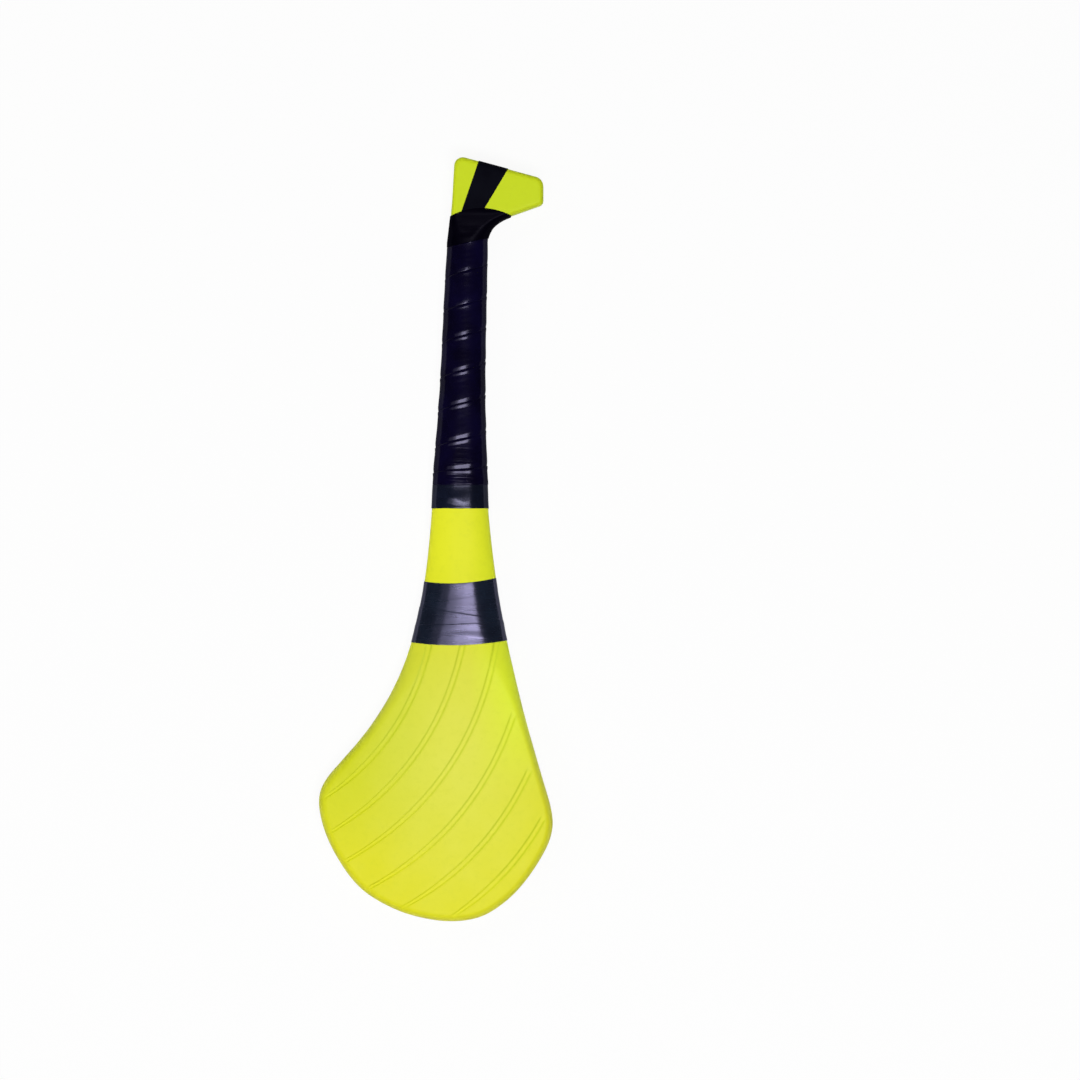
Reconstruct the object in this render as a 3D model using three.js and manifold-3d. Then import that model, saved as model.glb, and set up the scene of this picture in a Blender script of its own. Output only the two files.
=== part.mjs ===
// A toy hurley: a hollow moulded stick with a broad curved bas, a taped handle and a hooked pommel.
// Millimetres. While it is built, +Y runs up the stick from the tip of the bas to the pommel,
// +X points to the side on which the pommel juts out, and +Z is the thickness.
// The finished group lies on its back, with the origin under the middle of its box.

import * as THREE from "three";
import { mergeVertices } from "three/addons/utils/BufferGeometryUtils.js";
import Module from "manifold-3d";

const wasm = await Module();
wasm.setup();

// Lengths up the stick, one after another from the tip of the bas
const basLength = 166;
const bandLength = 36.5;
const bareLength = 44.3;
const gripEndLength = 14.7;
const lowerGripLength = 54.2;
const upperGripLength = 86.1;
const neckLength = 22.2;
const pommelLength = 34.6;

// Heights on the bas, and how far below the throat the stick starts to thin
const toeHeight = 59.4;
const heelHeight = 71.4;
const thicknessFallLength = 38;

// Reaches to each side of the handle's axis, and widths
const tipReach = 5.6;
const heelReach = 85.7;
const toeReach = 54.4;
const throatWidth = 57.9;
const bandTopWidth = 43.5;
const gripEndWidth = 33.8;
const wrapEndWidth = 32.7;
const waistWidth = 27.1;
const neckWidth = 24.1;
const pommelBaseReach = 6.35;
const pommelCornerReach = 4.4;
const pommelReach = 48.8;

// The pommel's outline
const pommelTopDrop = 14.4;
const pommelEndDepth = 15.3;
const undersideRise = 12;
const neckFilletRun = 14.3;
const backCornerRadius = 4.8;
const endTopCornerRadius = 6;
const endLowCornerRadius = 3;

// Thickness, wall and edge rounding
const basThickness = 22;
const handleThickness = 18.4;
const pommelThickness = 20.4;
const wall = 2.3;
const partingFlat = 1.2;
const basRimWidth = 9;
const bandRimWidth = 17;
const handleRimWidth = 13.4;
const pommelRimWidth = 3;
const pommelRimRise = 3;

// Grooves in both faces of the bas
const grooveCutterRadius = 1.95;
const grooveDepth = 0.9;
const grooveStepLength = 9;

// Tapes and wrap
const touchGap = 0.3;
const tapeThickness = 0.4;
const bandSeatDepth = 0.45;
const bandSeatRamp = 8;
const gripSeatDepth = 1;
const gripSeatRamp = 0.6;
const wrapPitch = 20;
const wrapSeamRise = 26.9;
const wrapSlit = 0.5;
const wrapEdgeThickness = 1;
const wrapMiddleThickness = 0.72;
const wrapTrimWidth = 4;
const tapeEndSlit = 0.5;

const bandDrop = 0.6;
const neckTapeRise = 4.2;
const neckTapeCover = 2.4;

// The strap over the pommel
const strapFootWidth = 13.2;
const strapFootPlace = 0.4;
const strapTuck = 9;

// The blow hole and its plug
const blowHoleRadius = 3;
const plugHeadRadius = 4.2;
const plugHeadThickness = 0.6;
const plugLength = 5.4;
const plugTipChamfer = 0.6;
const bossRadius = 7.5;
const bossDepth = 4.6;

// Working distances: how far cutters run past what they cut, and how close points count as one
const overrun = 6;
const mergeDistance = 0.001;

// Shares chosen by hand. How far up the band its strips meet, and up the neck its fillet starts
const bandFirstLapShare = 0.337;
const bandSecondLapShare = 0.759;
const neckFilletShare = 0.285;

// Left part of each width, at the stations up the handle
const throatLeftShare = 0.529;
const bandTopLeftShare = 0.522;
const gripEndLeftShare = 0.534;
const wrapEndLeftShare = 0.533;
const waistLeftShare = 0.491;
const neckLeftShare = 0.366;

// Rounded foot of the bas: share of the way out from the tip, share of the height up
const heelRoundShares = [
  [0.14, 0.011],
  [0.38, 0.078],
  [0.62, 0.217],
  [0.74, 0.338],
  [0.857, 0.524],
  [0.937, 0.7],
  [0.982, 0.855],
];
const toeRoundShares = [
  [0.155, 0.013],
  [0.3, 0.053],
  [0.452, 0.14],
  [0.612, 0.274],
  [0.772, 0.466],
  [0.93, 0.726],
  [0.984, 0.87],
];

// Sides of the bas: share of the height from heel or toe to throat, share of the way in
const heelSideShares = [
  [0.076, 0.02],
  [0.152, 0.088],
  [0.265, 0.252],
  [0.4175, 0.478],
  [0.57, 0.662],
  [0.722, 0.8125],
  [0.873, 0.925],
];
const toeSideShares = [
  [0.079, 0.041],
  [0.146, 0.11],
  [0.281, 0.268],
  [0.4155, 0.42],
  [0.551, 0.572],
  [0.753, 0.773],
  [0.887, 0.896],
];

// Grooves: start x, start y, end x, end y, bulge, run on past the start, fade at the start.
// x and bulge are shares of the bas width, y of the throat's height, the rest of the groove's length
const grooveShares = [
  [-0.141, 0.993, -0.59, 0.445, 0.079, 0.06, 0],
  [0, 0.986, -0.564, 0.322, 0.104, 0.06, 0],
  [0.145, 0.993, -0.5, 0.2175, 0.133, 0.05, 0],
  [0.226, 0.762, -0.402, 0.12, 0.101, 0, 0.12],
  [0.295, 0.56, -0.261, 0.048, 0.071, 0, 0.14],
  [0.355, 0.387, -0.045, 0.018, 0.0386, 0, 0.18],
];
const strapTopStartShare = 0.269;
const strapTopEndShare = 0.585;
const blowHoleShare = 0.42;

// Counts
const outlineSteps = 110;
const cornerSteps = 5;
const filletSteps = 10;
const roundSteps = 24;
const grooveSides = 4;
const rimColumns = 5;
const hollowRimColumns = 3;
const middleColumns = 2;
const tipRows = 6;
const pommelRows = 12;
const endRows = 3;
const wrapStepsPerTurn = 24;
const wrapColumns = 2;
const tapeSteps = 48;
const bandColumns = 2;
const gripEndColumns = 1;
const neckTapeColumns = 5;
const searchSteps = 22;

// Row spacing up the bas and the handle
const basRowSpacing = 10;
const handleRowSpacing = 15;
const neckRowSpacing = 2.6;

// Heights up the stick, from the tip of the bas
const throatHeight = basLength;
const bandTopHeight = throatHeight + bandLength;
const gripEndHeight = bandTopHeight + bareLength;
const wrapEndHeight = gripEndHeight + gripEndLength;
const waistHeight = wrapEndHeight + lowerGripLength;
const neckHeight = waistHeight + upperGripLength;
const pommelBaseHeight = neckHeight + neckLength;
const pommelCornerHeight = pommelBaseHeight + pommelLength;
const thicknessFallHeight = throatHeight - thicknessFallLength;

const basWidth = heelReach + toeReach;
const basHalf = basThickness / 2;
const handleHalf = handleThickness / 2;
const pommelHalf = pommelThickness / 2;
const partingHalf = partingFlat / 2;
const quarterTurn = Math.PI / 2;
const fullTurn = Math.PI * 2;

// Plain helpers
const mix = (start, end, share) => start + (end - start) * share;
const clampShare = (value) => Math.min(1, Math.max(0, value));
const eased = (value) => {
  const share = clampShare(value);
  return share * share * (3 - 2 * share);
};
const point = (x, y) => new THREE.Vector2(x, y);

// The tilted and bowed edges of the tapes: height on the axis, rise to the right, rise at both sides
const upTheBand = (share) => mix(throatHeight, bandTopHeight, share);
const bandLowEdge = { level: throatHeight - bandDrop, tilt: 0.3, bow: 2.1 };
const bandFirstLap = { level: upTheBand(bandFirstLapShare), tilt: 0.9, bow: 0.4 };
const bandSecondLap = { level: upTheBand(bandSecondLapShare), tilt: 3.2, bow: 0 };
const bandHighEdge = { level: bandTopHeight, tilt: 1.6, bow: 1.6 };
const neckTapeLowEdge = { level: neckHeight + neckTapeRise, tilt: 2.7, bow: 0 };
const neckTapeHighEdge = { level: pommelBaseHeight + neckTapeCover, tilt: 0.2, bow: -4.4 };

// The halves of the outline as far up as the neck, as one smooth curve through its stations
function stationPoints(side) {
  const stations = [
    [throatHeight, throatWidth, throatLeftShare],
    [bandTopHeight, bandTopWidth, bandTopLeftShare],
    [gripEndHeight, gripEndWidth, gripEndLeftShare],
    [wrapEndHeight, wrapEndWidth, wrapEndLeftShare],
    [waistHeight, waistWidth, waistLeftShare],
    [neckHeight, neckWidth, neckLeftShare],
  ];
  return stations.map(([height, width, leftShare]) => {
    const reach = side < 0 ? width * leftShare : width * (1 - leftShare);
    return new THREE.Vector3(side * reach, height, 0);
  });
}

function basPoints(side) {
  const outerReach = side < 0 ? heelReach : toeReach;
  const outerHeight = side < 0 ? heelHeight : toeHeight;
  const throatReach = throatWidth * (side < 0 ? throatLeftShare : 1 - throatLeftShare);
  const roundShares = side < 0 ? heelRoundShares : toeRoundShares;
  const sideShares = side < 0 ? heelSideShares : toeSideShares;
  const low = roundShares.map(([out, up]) => {
    return new THREE.Vector3(mix(-tipReach, side * outerReach, out), outerHeight * up, 0);
  });
  const high = sideShares.map(([up, inward]) => {
    const x = side * mix(outerReach, throatReach, inward);
    return new THREE.Vector3(x, mix(outerHeight, throatHeight, up), 0);
  });
  return [...low, new THREE.Vector3(side * outerReach, outerHeight, 0), ...high];
}

function lowerOutline() {
  const left = [...basPoints(-1), ...stationPoints(-1)];
  left.push(new THREE.Vector3(-pommelBaseReach, pommelBaseHeight, 0));
  const right = [...basPoints(1), ...stationPoints(1)];
  const neckRight = right[right.length - 1].x;
  const filletHeight = mix(neckHeight, undersideCorner().y, neckFilletShare);
  right.push(new THREE.Vector3(neckRight, filletHeight, 0));
  const tip = new THREE.Vector3(-tipReach, 0, 0);
  const stops = [...left.reverse(), tip, ...right];
  const curve = new THREE.CatmullRomCurve3(stops, false, "centripetal");
  const tipShare = left.length / (stops.length - 1);
  const sample = (share) => {
    const place = curve.getPoint(share);
    return point(place.x, place.y);
  };
  const count = outlineSteps;
  const steps = Array.from({ length: count + 1 }, (_, step) => step / count);
  return {
    left: steps.map((step) => sample(tipShare * (1 - step))),
    right: steps.map((step) => sample(mix(tipShare, 1, step))),
  };
}

// The pommel's sharp corners, before they are rounded
function undersideCorner() {
  const neckRight = neckWidth * (1 - neckLeftShare);
  const endLow = pommelCornerHeight - pommelTopDrop - pommelEndDepth;
  return point(neckRight, endLow - undersideRise);
}

const backCorner = point(-pommelCornerReach, pommelCornerHeight);
const endTopCorner = point(pommelReach, pommelCornerHeight - pommelTopDrop);
const endLowCorner = point(pommelReach, endTopCorner.y - pommelEndDepth);

function roundedCorner(before, corner, after, radius) {
  const incoming = before.clone().sub(corner).normalize();
  const outgoing = after.clone().sub(corner).normalize();
  const halfAngle = Math.acos(incoming.dot(outgoing)) / 2;
  const run = radius / Math.tan(halfAngle);
  const start = corner.clone().addScaledVector(incoming, run);
  const end = corner.clone().addScaledVector(outgoing, run);
  const inward = incoming.clone().add(outgoing).normalize();
  const centre = corner.clone().addScaledVector(inward, radius / Math.sin(halfAngle));
  const first = start.clone().sub(centre).angle();
  let sweep = end.clone().sub(centre).angle() - first;
  sweep -= fullTurn * Math.round(sweep / fullTurn);
  return Array.from({ length: cornerSteps + 1 }, (_, step) => {
    const angle = first + (sweep * step) / cornerSteps;
    return point(centre.x + radius * Math.cos(angle), centre.y + radius * Math.sin(angle));
  });
}

function upperOutline() {
  const lower = lowerOutline();
  const leftNeck = lower.left[lower.left.length - 1];
  const rightNeck = lower.right[lower.right.length - 1];
  const corner = undersideCorner();
  const along = endLowCorner.clone().sub(corner).normalize();
  const filletEnd = corner.clone().addScaledVector(along, neckFilletRun);
  const fillet = new THREE.QuadraticBezierCurve(rightNeck, corner, filletEnd);
  const back = roundedCorner(leftNeck, backCorner, endTopCorner, backCornerRadius);
  const endTop = roundedCorner(backCorner, endTopCorner, endLowCorner, endTopCornerRadius);
  const endLow = roundedCorner(filletEnd, endLowCorner, endTopCorner, endLowCornerRadius);
  return {
    lower,
    left: [leftNeck, ...back, ...endTop],
    right: [...fillet.getPoints(filletSteps), ...endLow],
  };
}

const upper = upperOutline();
const outline = [...upper.lower.left, ...upper.left.slice(1)];
outline.push(...[...upper.lower.right.slice(1), ...upper.right.slice(1)].reverse());

// Distance in from the outline: positive inside, negative outside
function edgeDistance(x, y) {
  let nearest = Infinity;
  let inside = false;
  for (let index = 0, last = outline.length - 1; index < outline.length; last = index, index += 1) {
    const a = outline[last];
    const b = outline[index];
    const alongX = b.x - a.x;
    const alongY = b.y - a.y;
    const span = alongX * alongX + alongY * alongY;
    const share = clampShare(((x - a.x) * alongX + (y - a.y) * alongY) / span);
    const away = Math.hypot(x - a.x - alongX * share, y - a.y - alongY * share);
    nearest = Math.min(nearest, away);
    if (a.y > y !== b.y > y && x < a.x + (alongX * (y - a.y)) / alongY) {
      inside = !inside;
    }
  }
  return inside ? nearest : -nearest;
}

// Half thickness, and the width and rise of the rounded rim, at a height up the stick
function halfThickness(y) {
  const flare = clampShare((y - neckHeight) / (pommelBaseHeight - neckHeight));
  const fall = eased((y - thicknessFallHeight) / (wrapEndHeight - thicknessFallHeight));
  return mix(basHalf, handleHalf, fall) + (pommelHalf - handleHalf) * flare * flare;
}

function rim(y) {
  const hook = eased((y - neckHeight) / (pommelBaseHeight - neckHeight));
  const swell = eased((y - thicknessFallHeight) / (throatHeight - thicknessFallHeight));
  const slim = eased((y - bandTopHeight) / (wrapEndHeight - bandTopHeight));
  const plainWidth = mix(mix(basRimWidth, bandRimWidth, swell), handleRimWidth, slim);
  const plainRise = halfThickness(y) - partingHalf;
  return { width: mix(plainWidth, pommelRimWidth, hook), rise: mix(plainRise, pommelRimRise, hook) };
}

// Height of the surface above the middle plane, for a skin grown outwards from the moulded form
function surfaceHeight(x, y, growth) {
  const { width, rise } = rim(y);
  const share = clampShare((edgeDistance(x, y) + growth) / (width + growth));
  return halfThickness(y) - rise + (rise + growth) * Math.sqrt(1 - (1 - share) ** 2);
}

// Halves the span until it finds where the depth in from the edge reaches a target
function walkIn(outer, inner, target, depth) {
  let low = 0;
  let high = 1;
  for (let step = 0; step < searchSteps; step += 1) {
    const middle = (low + high) / 2;
    if (depth(outer.clone().lerp(inner, middle)) < target) {
      low = middle;
    } else {
      high = middle;
    }
  }
  return outer.clone().lerp(inner, (low + high) / 2);
}

// One row of the moulded form, along a line that crosses it in plan
function formRow(start, end, { growthAt, columns }) {
  const middle = start.clone().lerp(end, 1 / 2);
  const depth = (place) => edgeDistance(place.x, place.y) + growthAt(place.y);
  const width = rim(middle.y).width + growthAt(middle.y);
  const reached = Math.min(width, depth(middle));
  const lastAngle = Math.acos(1 - reached / width);
  const side = (outer) => {
    return Array.from({ length: columns + 1 }, (_, column) => {
      const target = width * (1 - Math.cos((lastAngle * column) / columns));
      return walkIn(outer, middle, target, depth);
    });
  };
  const left = side(start);
  const right = side(end).reverse();
  const leftInner = left[left.length - 1];
  const between = Array.from({ length: middleColumns - 1 }, (_, column) => {
    return leftInner.clone().lerp(right[0], (column + 1) / middleColumns);
  });
  return [...left, ...between, ...right].map((place) => {
    return new THREE.Vector3(place.x, place.y, surfaceHeight(place.x, place.y, growthAt(place.y)));
  });
}

function solidGeometry(positions, triangles) {
  const geometry = new THREE.BufferGeometry();
  geometry.setAttribute("position", new THREE.Float32BufferAttribute(positions.flat(), 3));
  geometry.setIndex(triangles.flat());
  return joinedPoints(geometry);
}

// One vertex for each place, and no triangle that has lost its area
function joinedPoints(geometry) {
  geometry.deleteAttribute("normal");
  geometry.deleteAttribute("uv");
  const merged = mergeVertices(geometry, mergeDistance);
  const corners = merged.index.array;
  const kept = [];
  for (let corner = 0; corner < corners.length; corner += 3) {
    const [a, b, c] = corners.slice(corner, corner + 3);
    if (a !== b && b !== c && c !== a) {
      kept.push(a, b, c);
    }
  }
  merged.setIndex(kept);
  return merged;
}

function toSolid(geometry) {
  const merged = joinedPoints(geometry);
  const vertProperties = new Float32Array(merged.attributes.position.array);
  const triVerts = new Uint32Array(merged.index.array);
  return new wasm.Manifold(new wasm.Mesh({ numProp: 3, vertProperties, triVerts }));
}

function toGeometry(solid) {
  const mesh = solid.getMesh();
  const geometry = new THREE.BufferGeometry();
  geometry.setAttribute("position", new THREE.Float32BufferAttribute(mesh.vertProperties, 3));
  geometry.setIndex(Array.from(mesh.triVerts));
  return geometry;
}

// Closes rows of points, and the same rows mirrored through the middle plane, into one solid
function mirroredRows(rows) {
  const columns = rows[0].length;
  const positions = [];
  for (const side of [1, -1]) {
    for (const row of rows) {
      positions.push(...row.map((place) => [place.x, place.y, side * place.z]));
    }
  }
  const top = (row, column) => row * columns + column;
  const low = (row, column) => (rows.length + row) * columns + column;
  const triangles = [];
  const quad = (a, b, c, d) => triangles.push([a, b, c], [a, c, d]);
  const last = columns - 1;
  for (let row = 0; row + 1 < rows.length; row += 1) {
    for (let column = 0; column < last; column += 1) {
      quad(top(row, column), top(row, column + 1), top(row + 1, column + 1), top(row + 1, column));
      quad(low(row, column), low(row + 1, column), low(row + 1, column + 1), low(row, column + 1));
    }
    quad(low(row, 0), top(row, 0), top(row + 1, 0), low(row + 1, 0));
    quad(top(row, last), low(row, last), low(row + 1, last), top(row + 1, last));
  }
  const end = rows.length - 1;
  for (let column = 0; column < last; column += 1) {
    quad(low(0, column), low(0, column + 1), top(0, column + 1), top(0, column));
    quad(top(end, column), top(end, column + 1), low(end, column + 1), low(end, column));
  }
  return solidGeometry(positions, triangles);
}

// How far the moulded surface lies below the form, in the shallow seats of the wrap and the band
const gripSeatTop = neckTapeLowEdge.level + neckTapeLowEdge.tilt + touchGap + gripSeatRamp * 2;

function seatDepth(y) {
  const seat = (low, high, depth, ramp) => depth * eased((y - low) / ramp) * eased((high - y) / ramp);
  const grip = seat(gripEndHeight, gripSeatTop, gripSeatDepth, gripSeatRamp);
  const bandLow = throatHeight - bandSeatRamp;
  return grip + seat(bandLow, bandTopHeight + bandSeatRamp, bandSeatDepth, bandSeatRamp);
}

function rowHeights() {
  const heights = [];
  const spread = (low, high, spacing) => {
    const count = Math.max(1, Math.round((high - low) / spacing));
    for (let step = 0; step < count; step += 1) {
      heights.push(mix(low, high, step / count));
    }
  };
  const ramp = gripSeatRamp;
  spread(basRimWidth, bandTopHeight + bandSeatRamp, basRowSpacing);
  spread(bandTopHeight + bandSeatRamp, gripEndHeight, basRowSpacing);
  spread(gripEndHeight, gripEndHeight + ramp, ramp / 2);
  spread(gripEndHeight + ramp, neckHeight, handleRowSpacing);
  spread(neckHeight, gripSeatTop - ramp, neckRowSpacing);
  spread(gripSeatTop - ramp, gripSeatTop, ramp / 2);
  heights.push(gripSeatTop);
  return heights;
}

// Points at even steps along a chain of outline points
function spacedAlong(chain, count) {
  const path = new THREE.CurvePath();
  chain.slice(1).forEach((place, index) => path.add(new THREE.LineCurve(chain[index], place)));
  return Array.from({ length: count }, (_, step) => path.getPointAt((step + 1) / count));
}

function tipRowsOf(skin) {
  const growth = skin.growthAt(0);
  const tip = new THREE.Vector3(-tipReach, -growth, basHalf - rim(0).rise);
  const rows = [Array.from({ length: skin.columns * 2 + middleColumns + 1 }, () => tip)];
  for (let row = 1; row < tipRows; row += 1) {
    const angle = (quarterTurn * row) / tipRows;
    const y = (basRimWidth + growth) * (1 - Math.cos(angle)) - growth;
    rows.push(formRow(point(-basWidth - tipReach, y), point(basWidth - tipReach, y), skin));
  }
  return rows;
}

// Rows that turn with the pommel, from the neck round to its end
function pommelRowsOf(skin) {
  const rows = [];
  const endStart = pommelReach - pommelRimWidth;
  const above = (chain) => chain.filter((place) => place.y > gripSeatTop && place.x < endStart);
  const leftEnds = spacedAlong(above([...upper.lower.left, ...upper.left.slice(1)]), pommelRows);
  const rightEnds = spacedAlong(above([...upper.lower.right, ...upper.right.slice(1)]), pommelRows);
  leftEnds.forEach((left, row) => {
    const right = rightEnds[row];
    const outward = left.clone().sub(right).setLength(overrun);
    rows.push(formRow(left.clone().add(outward), right.clone().sub(outward), skin));
  });
  const middle = (endTopCorner.y + endLowCorner.y) / 2;
  const growth = skin.growthAt(middle);
  for (let row = 0; row <= endRows; row += 1) {
    const angle = quarterTurn * (1 - row / endRows);
    const inset = (pommelRimWidth + growth) * (1 - Math.cos(angle));
    const x = pommelReach + growth - Math.max(inset, mergeDistance);
    const reach = pommelEndDepth;
    rows.push(formRow(point(x, middle + reach), point(x, middle - reach), skin));
  }
  return rows;
}

// The moulded form, grown or shrunk by a distance that may change with height
const levelRow = (y, skin) => formRow(point(-basWidth, y), point(basWidth, y), skin);

function formSolid(growthAt, columns) {
  const skin = { growthAt, columns };
  const middleRows = rowHeights().map((y) => levelRow(y, skin));
  return toSolid(mirroredRows([...tipRowsOf(skin), ...middleRows, ...pommelRowsOf(skin)]));
}

function pommelSolid(growth) {
  const skin = { growthAt: () => growth, columns: rimColumns };
  const neckRows = [levelRow(neckHeight, skin), levelRow(gripSeatTop, skin)];
  return toSolid(mirroredRows([...neckRows, ...pommelRowsOf(skin)]));
}

// Grooves: a round cutter follows an arc over the face of the bas
function grooveCutter([startX, startY, endX, endY, bulge, runOn, fade], face) {
  const start = point(startX * basWidth, startY * throatHeight);
  const end = point(endX * basWidth, endY * throatHeight);
  const along = end.clone().sub(start);
  const outward = point(-along.y, along.x).setLength(bulge * basWidth * 2);
  const arc = new THREE.QuadraticBezierCurve(start, start.clone().lerp(end, 1 / 2).add(outward), end);
  const steps = Math.round(along.length() / grooveStepLength);
  const places = Array.from({ length: steps + 1 }, (_, step) => {
    const share = mix(-runOn, 1, step / steps);
    const place = arc.getPoint(share);
    const depth = fade > 0 ? grooveDepth * eased(share / fade) : grooveDepth;
    const surface = surfaceHeight(place.x, place.y, -seatDepth(place.y));
    return new THREE.Vector3(place.x, place.y, face * (surface + grooveCutterRadius - depth));
  });
  const section = new THREE.Shape().absarc(0, 0, grooveCutterRadius, 0, fullTurn);
  const extrudePath = new THREE.CatmullRomCurve3(places, false, "centripetal");
  const settings = { extrudePath, steps, curveSegments: grooveSides };
  return toSolid(new THREE.ExtrudeGeometry(section, settings));
}

// A place on a skin that follows the form: its height, how far round it is, and its growth
function skinPoint(y, turn, growth) {
  const depth = (place) => edgeDistance(place.x, place.y) + growth;
  const edgeOn = (side) => walkIn(point(side * basWidth, y), point(0, y), 0, depth).x;
  const x = mix(edgeOn(-1), edgeOn(1), (1 - Math.cos(turn)) / 2);
  return new THREE.Vector3(x, y, Math.sign(Math.sin(turn)) * surfaceHeight(x, y, growth));
}

// Rings of a strip that runs round the stick between a low and a high edge
function stripRings({ from, to, steps, low, high, across, inner, outer }) {
  return Array.from({ length: steps + 1 }, (_, step) => {
    const turn = mix(from, to, step / steps);
    const shares = Array.from({ length: across + 1 }, (_, column) => column / across);
    const place = (share, growth) => {
      const y = mix(low(turn), high(turn), share);
      return skinPoint(y, turn, growth(y, share));
    };
    const inside = shares.map((share) => place(share, inner));
    const outside = shares.reverse().map((share) => place(share, outer));
    return [...inside, ...outside];
  });
}

function ringsGeometry(rings) {
  const sides = rings[0].length;
  const positions = rings.flat().map((place) => place.toArray());
  const triangles = [];
  const quad = (a, b, c, d) => triangles.push([a, b, c], [a, c, d]);
  for (let ring = 0; ring + 1 < rings.length; ring += 1) {
    for (let side = 0; side < sides; side += 1) {
      const next = (side + 1) % sides;
      const base = ring * sides;
      quad(base + side, base + next, base + sides + next, base + sides + side);
    }
  }
  const last = (rings.length - 1) * sides;
  for (let side = 0; side + 1 < sides / 2; side += 1) {
    const facing = sides - 1 - side;
    quad(side, facing, facing - 1, side + 1);
    quad(last + side, last + side + 1, last + facing - 1, last + facing);
  }
  return solidGeometry(positions, triangles);
}

const edgeHeight = (edge, turn) => {
  const across = -Math.cos(turn);
  return edge.level + edge.tilt * across + edge.bow * across * across;
};

// A strip of tape once round the stick, its two ends a slit apart on the back
function tapeGeometry({ low, high, across, inner, thickness, width }) {
  const halfSlitTurn = tapeEndSlit / width;
  return ringsGeometry(stripRings({
    from: -quarterTurn + halfSlitTurn,
    to: fullTurn - quarterTurn - halfSlitTurn,
    steps: tapeSteps,
    low,
    high,
    across,
    inner,
    outer: (y) => inner(y) + thickness,
  }));
}

function bandTape(lowEdge, highEdge, lowGap) {
  return tapeGeometry({
    low: (turn) => edgeHeight(lowEdge, turn) + lowGap,
    high: (turn) => edgeHeight(highEdge, turn),
    across: bandColumns,
    inner: (y) => touchGap - seatDepth(y),
    thickness: tapeThickness,
    width: bandTopWidth,
  });
}

function gripEndTape() {
  return tapeGeometry({
    low: () => gripEndHeight + gripSeatRamp + touchGap,
    high: () => wrapEndHeight - touchGap,
    across: gripEndColumns,
    inner: () => touchGap - gripSeatDepth,
    thickness: wrapEdgeThickness,
    width: gripEndWidth,
  });
}

function neckTape() {
  return tapeGeometry({
    low: (turn) => edgeHeight(neckTapeLowEdge, turn),
    high: (turn) => edgeHeight(neckTapeHighEdge, turn),
    across: neckTapeColumns,
    inner: () => touchGap,
    thickness: tapeThickness,
    width: neckWidth,
  });
}

// The wrap: one strip that winds up the handle, trimmed level at its foot and along the neck tape
function gripWrapRings() {
  const seamHeight = wrapEndHeight + wrapSeamRise;
  const turnsTo = (height) => (height - seamHeight) / wrapPitch;
  const fromFront = (turns) => quarterTurn + turns * fullTurn;
  const helix = (turn) => seamHeight + (wrapPitch * (turn - quarterTurn)) / fullTurn;
  const topOf = (turn) => edgeHeight(neckTapeLowEdge, turn) - touchGap;
  const firstTurns = turnsTo(wrapEndHeight + wrapTrimWidth - wrapPitch + wrapSlit);
  const lastTurns = turnsTo(neckTapeLowEdge.level - neckTapeLowEdge.tilt - touchGap - wrapTrimWidth);
  const base = touchGap - gripSeatDepth;
  const thickness = (share) => mix(wrapMiddleThickness, wrapEdgeThickness, Math.abs(share * 2 - 1));
  return stripRings({
    from: fromFront(firstTurns),
    to: fromFront(lastTurns),
    steps: Math.round((lastTurns - firstTurns) * wrapStepsPerTurn),
    low: (turn) => Math.max(helix(turn), wrapEndHeight),
    high: (turn) => Math.min(helix(turn) + wrapPitch - wrapSlit, topOf(turn)),
    across: wrapColumns,
    inner: () => base,
    outer: (y, share) => base + thickness(share),
  });
}

function leastGapBetweenTurns(rings) {
  let least = Infinity;
  for (let ring = 0; ring + wrapStepsPerTurn / 2 < rings.length; ring += 1) {
    const later = rings.slice(ring + wrapStepsPerTurn / 2, ring + (wrapStepsPerTurn * 3) / 2).flat();
    for (const place of rings[ring]) {
      for (const other of later) {
        least = Math.min(least, place.distanceTo(other));
      }
    }
  }
  return least;
}

// The strap over the pommel, its two ends tucked under the neck tape
const strapChannelDepth = touchGap + tapeThickness;

function strapOutline() {
  const footLeft = point(strapFootPlace, neckTapeHighEdge.level);
  const footRight = point(strapFootPlace + strapFootWidth, neckTapeHighEdge.level);
  const topLeft = backCorner.clone().lerp(endTopCorner, strapTopStartShare);
  const topRight = backCorner.clone().lerp(endTopCorner, strapTopEndShare);
  const beyond = (from, to, distance) => {
    return to.clone().add(to.clone().sub(from).setLength(distance));
  };
  return [
    beyond(topLeft, footLeft, strapTuck),
    beyond(topRight, footRight, strapTuck),
    beyond(footRight, topRight, overrun),
    beyond(footLeft, topLeft, overrun),
  ];
}

function grownOutline(corners, amount) {
  return corners.map((corner, index) => {
    const before = corners.at(index - 1);
    const after = corners[(index + 1) % corners.length];
    const first = point(corner.y - before.y, before.x - corner.x).normalize();
    const second = point(after.y - corner.y, corner.x - after.x).normalize();
    const scale = amount / (1 + first.dot(second));
    return corner.clone().addScaledVector(first.add(second), scale);
  });
}

function throughPrism(corners) {
  const depth = pommelThickness + overrun * 2;
  const geometry = new THREE.ExtrudeGeometry(new THREE.Shape(corners), { depth, bevelEnabled: false });
  geometry.translate(0, 0, -depth / 2);
  return toSolid(geometry);
}

// The blow hole: a frame on the floor of the strap's channel, with its axis square to the top edge
function blowHoleFrame() {
  const along = endTopCorner.clone().sub(backCorner).normalize();
  const outward = point(-along.y, along.x);
  const place = backCorner.clone().lerp(endTopCorner, blowHoleShare);
  const outer = place.clone().addScaledVector(outward, overrun);
  const inner = place.clone().addScaledVector(outward, -overrun);
  const floor = walkIn(outer, inner, strapChannelDepth, (at) => edgeDistance(at.x, at.y));
  return { position: new THREE.Vector3(floor.x, floor.y, 0), angle: outward.angle() - quarterTurn };
}

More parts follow.
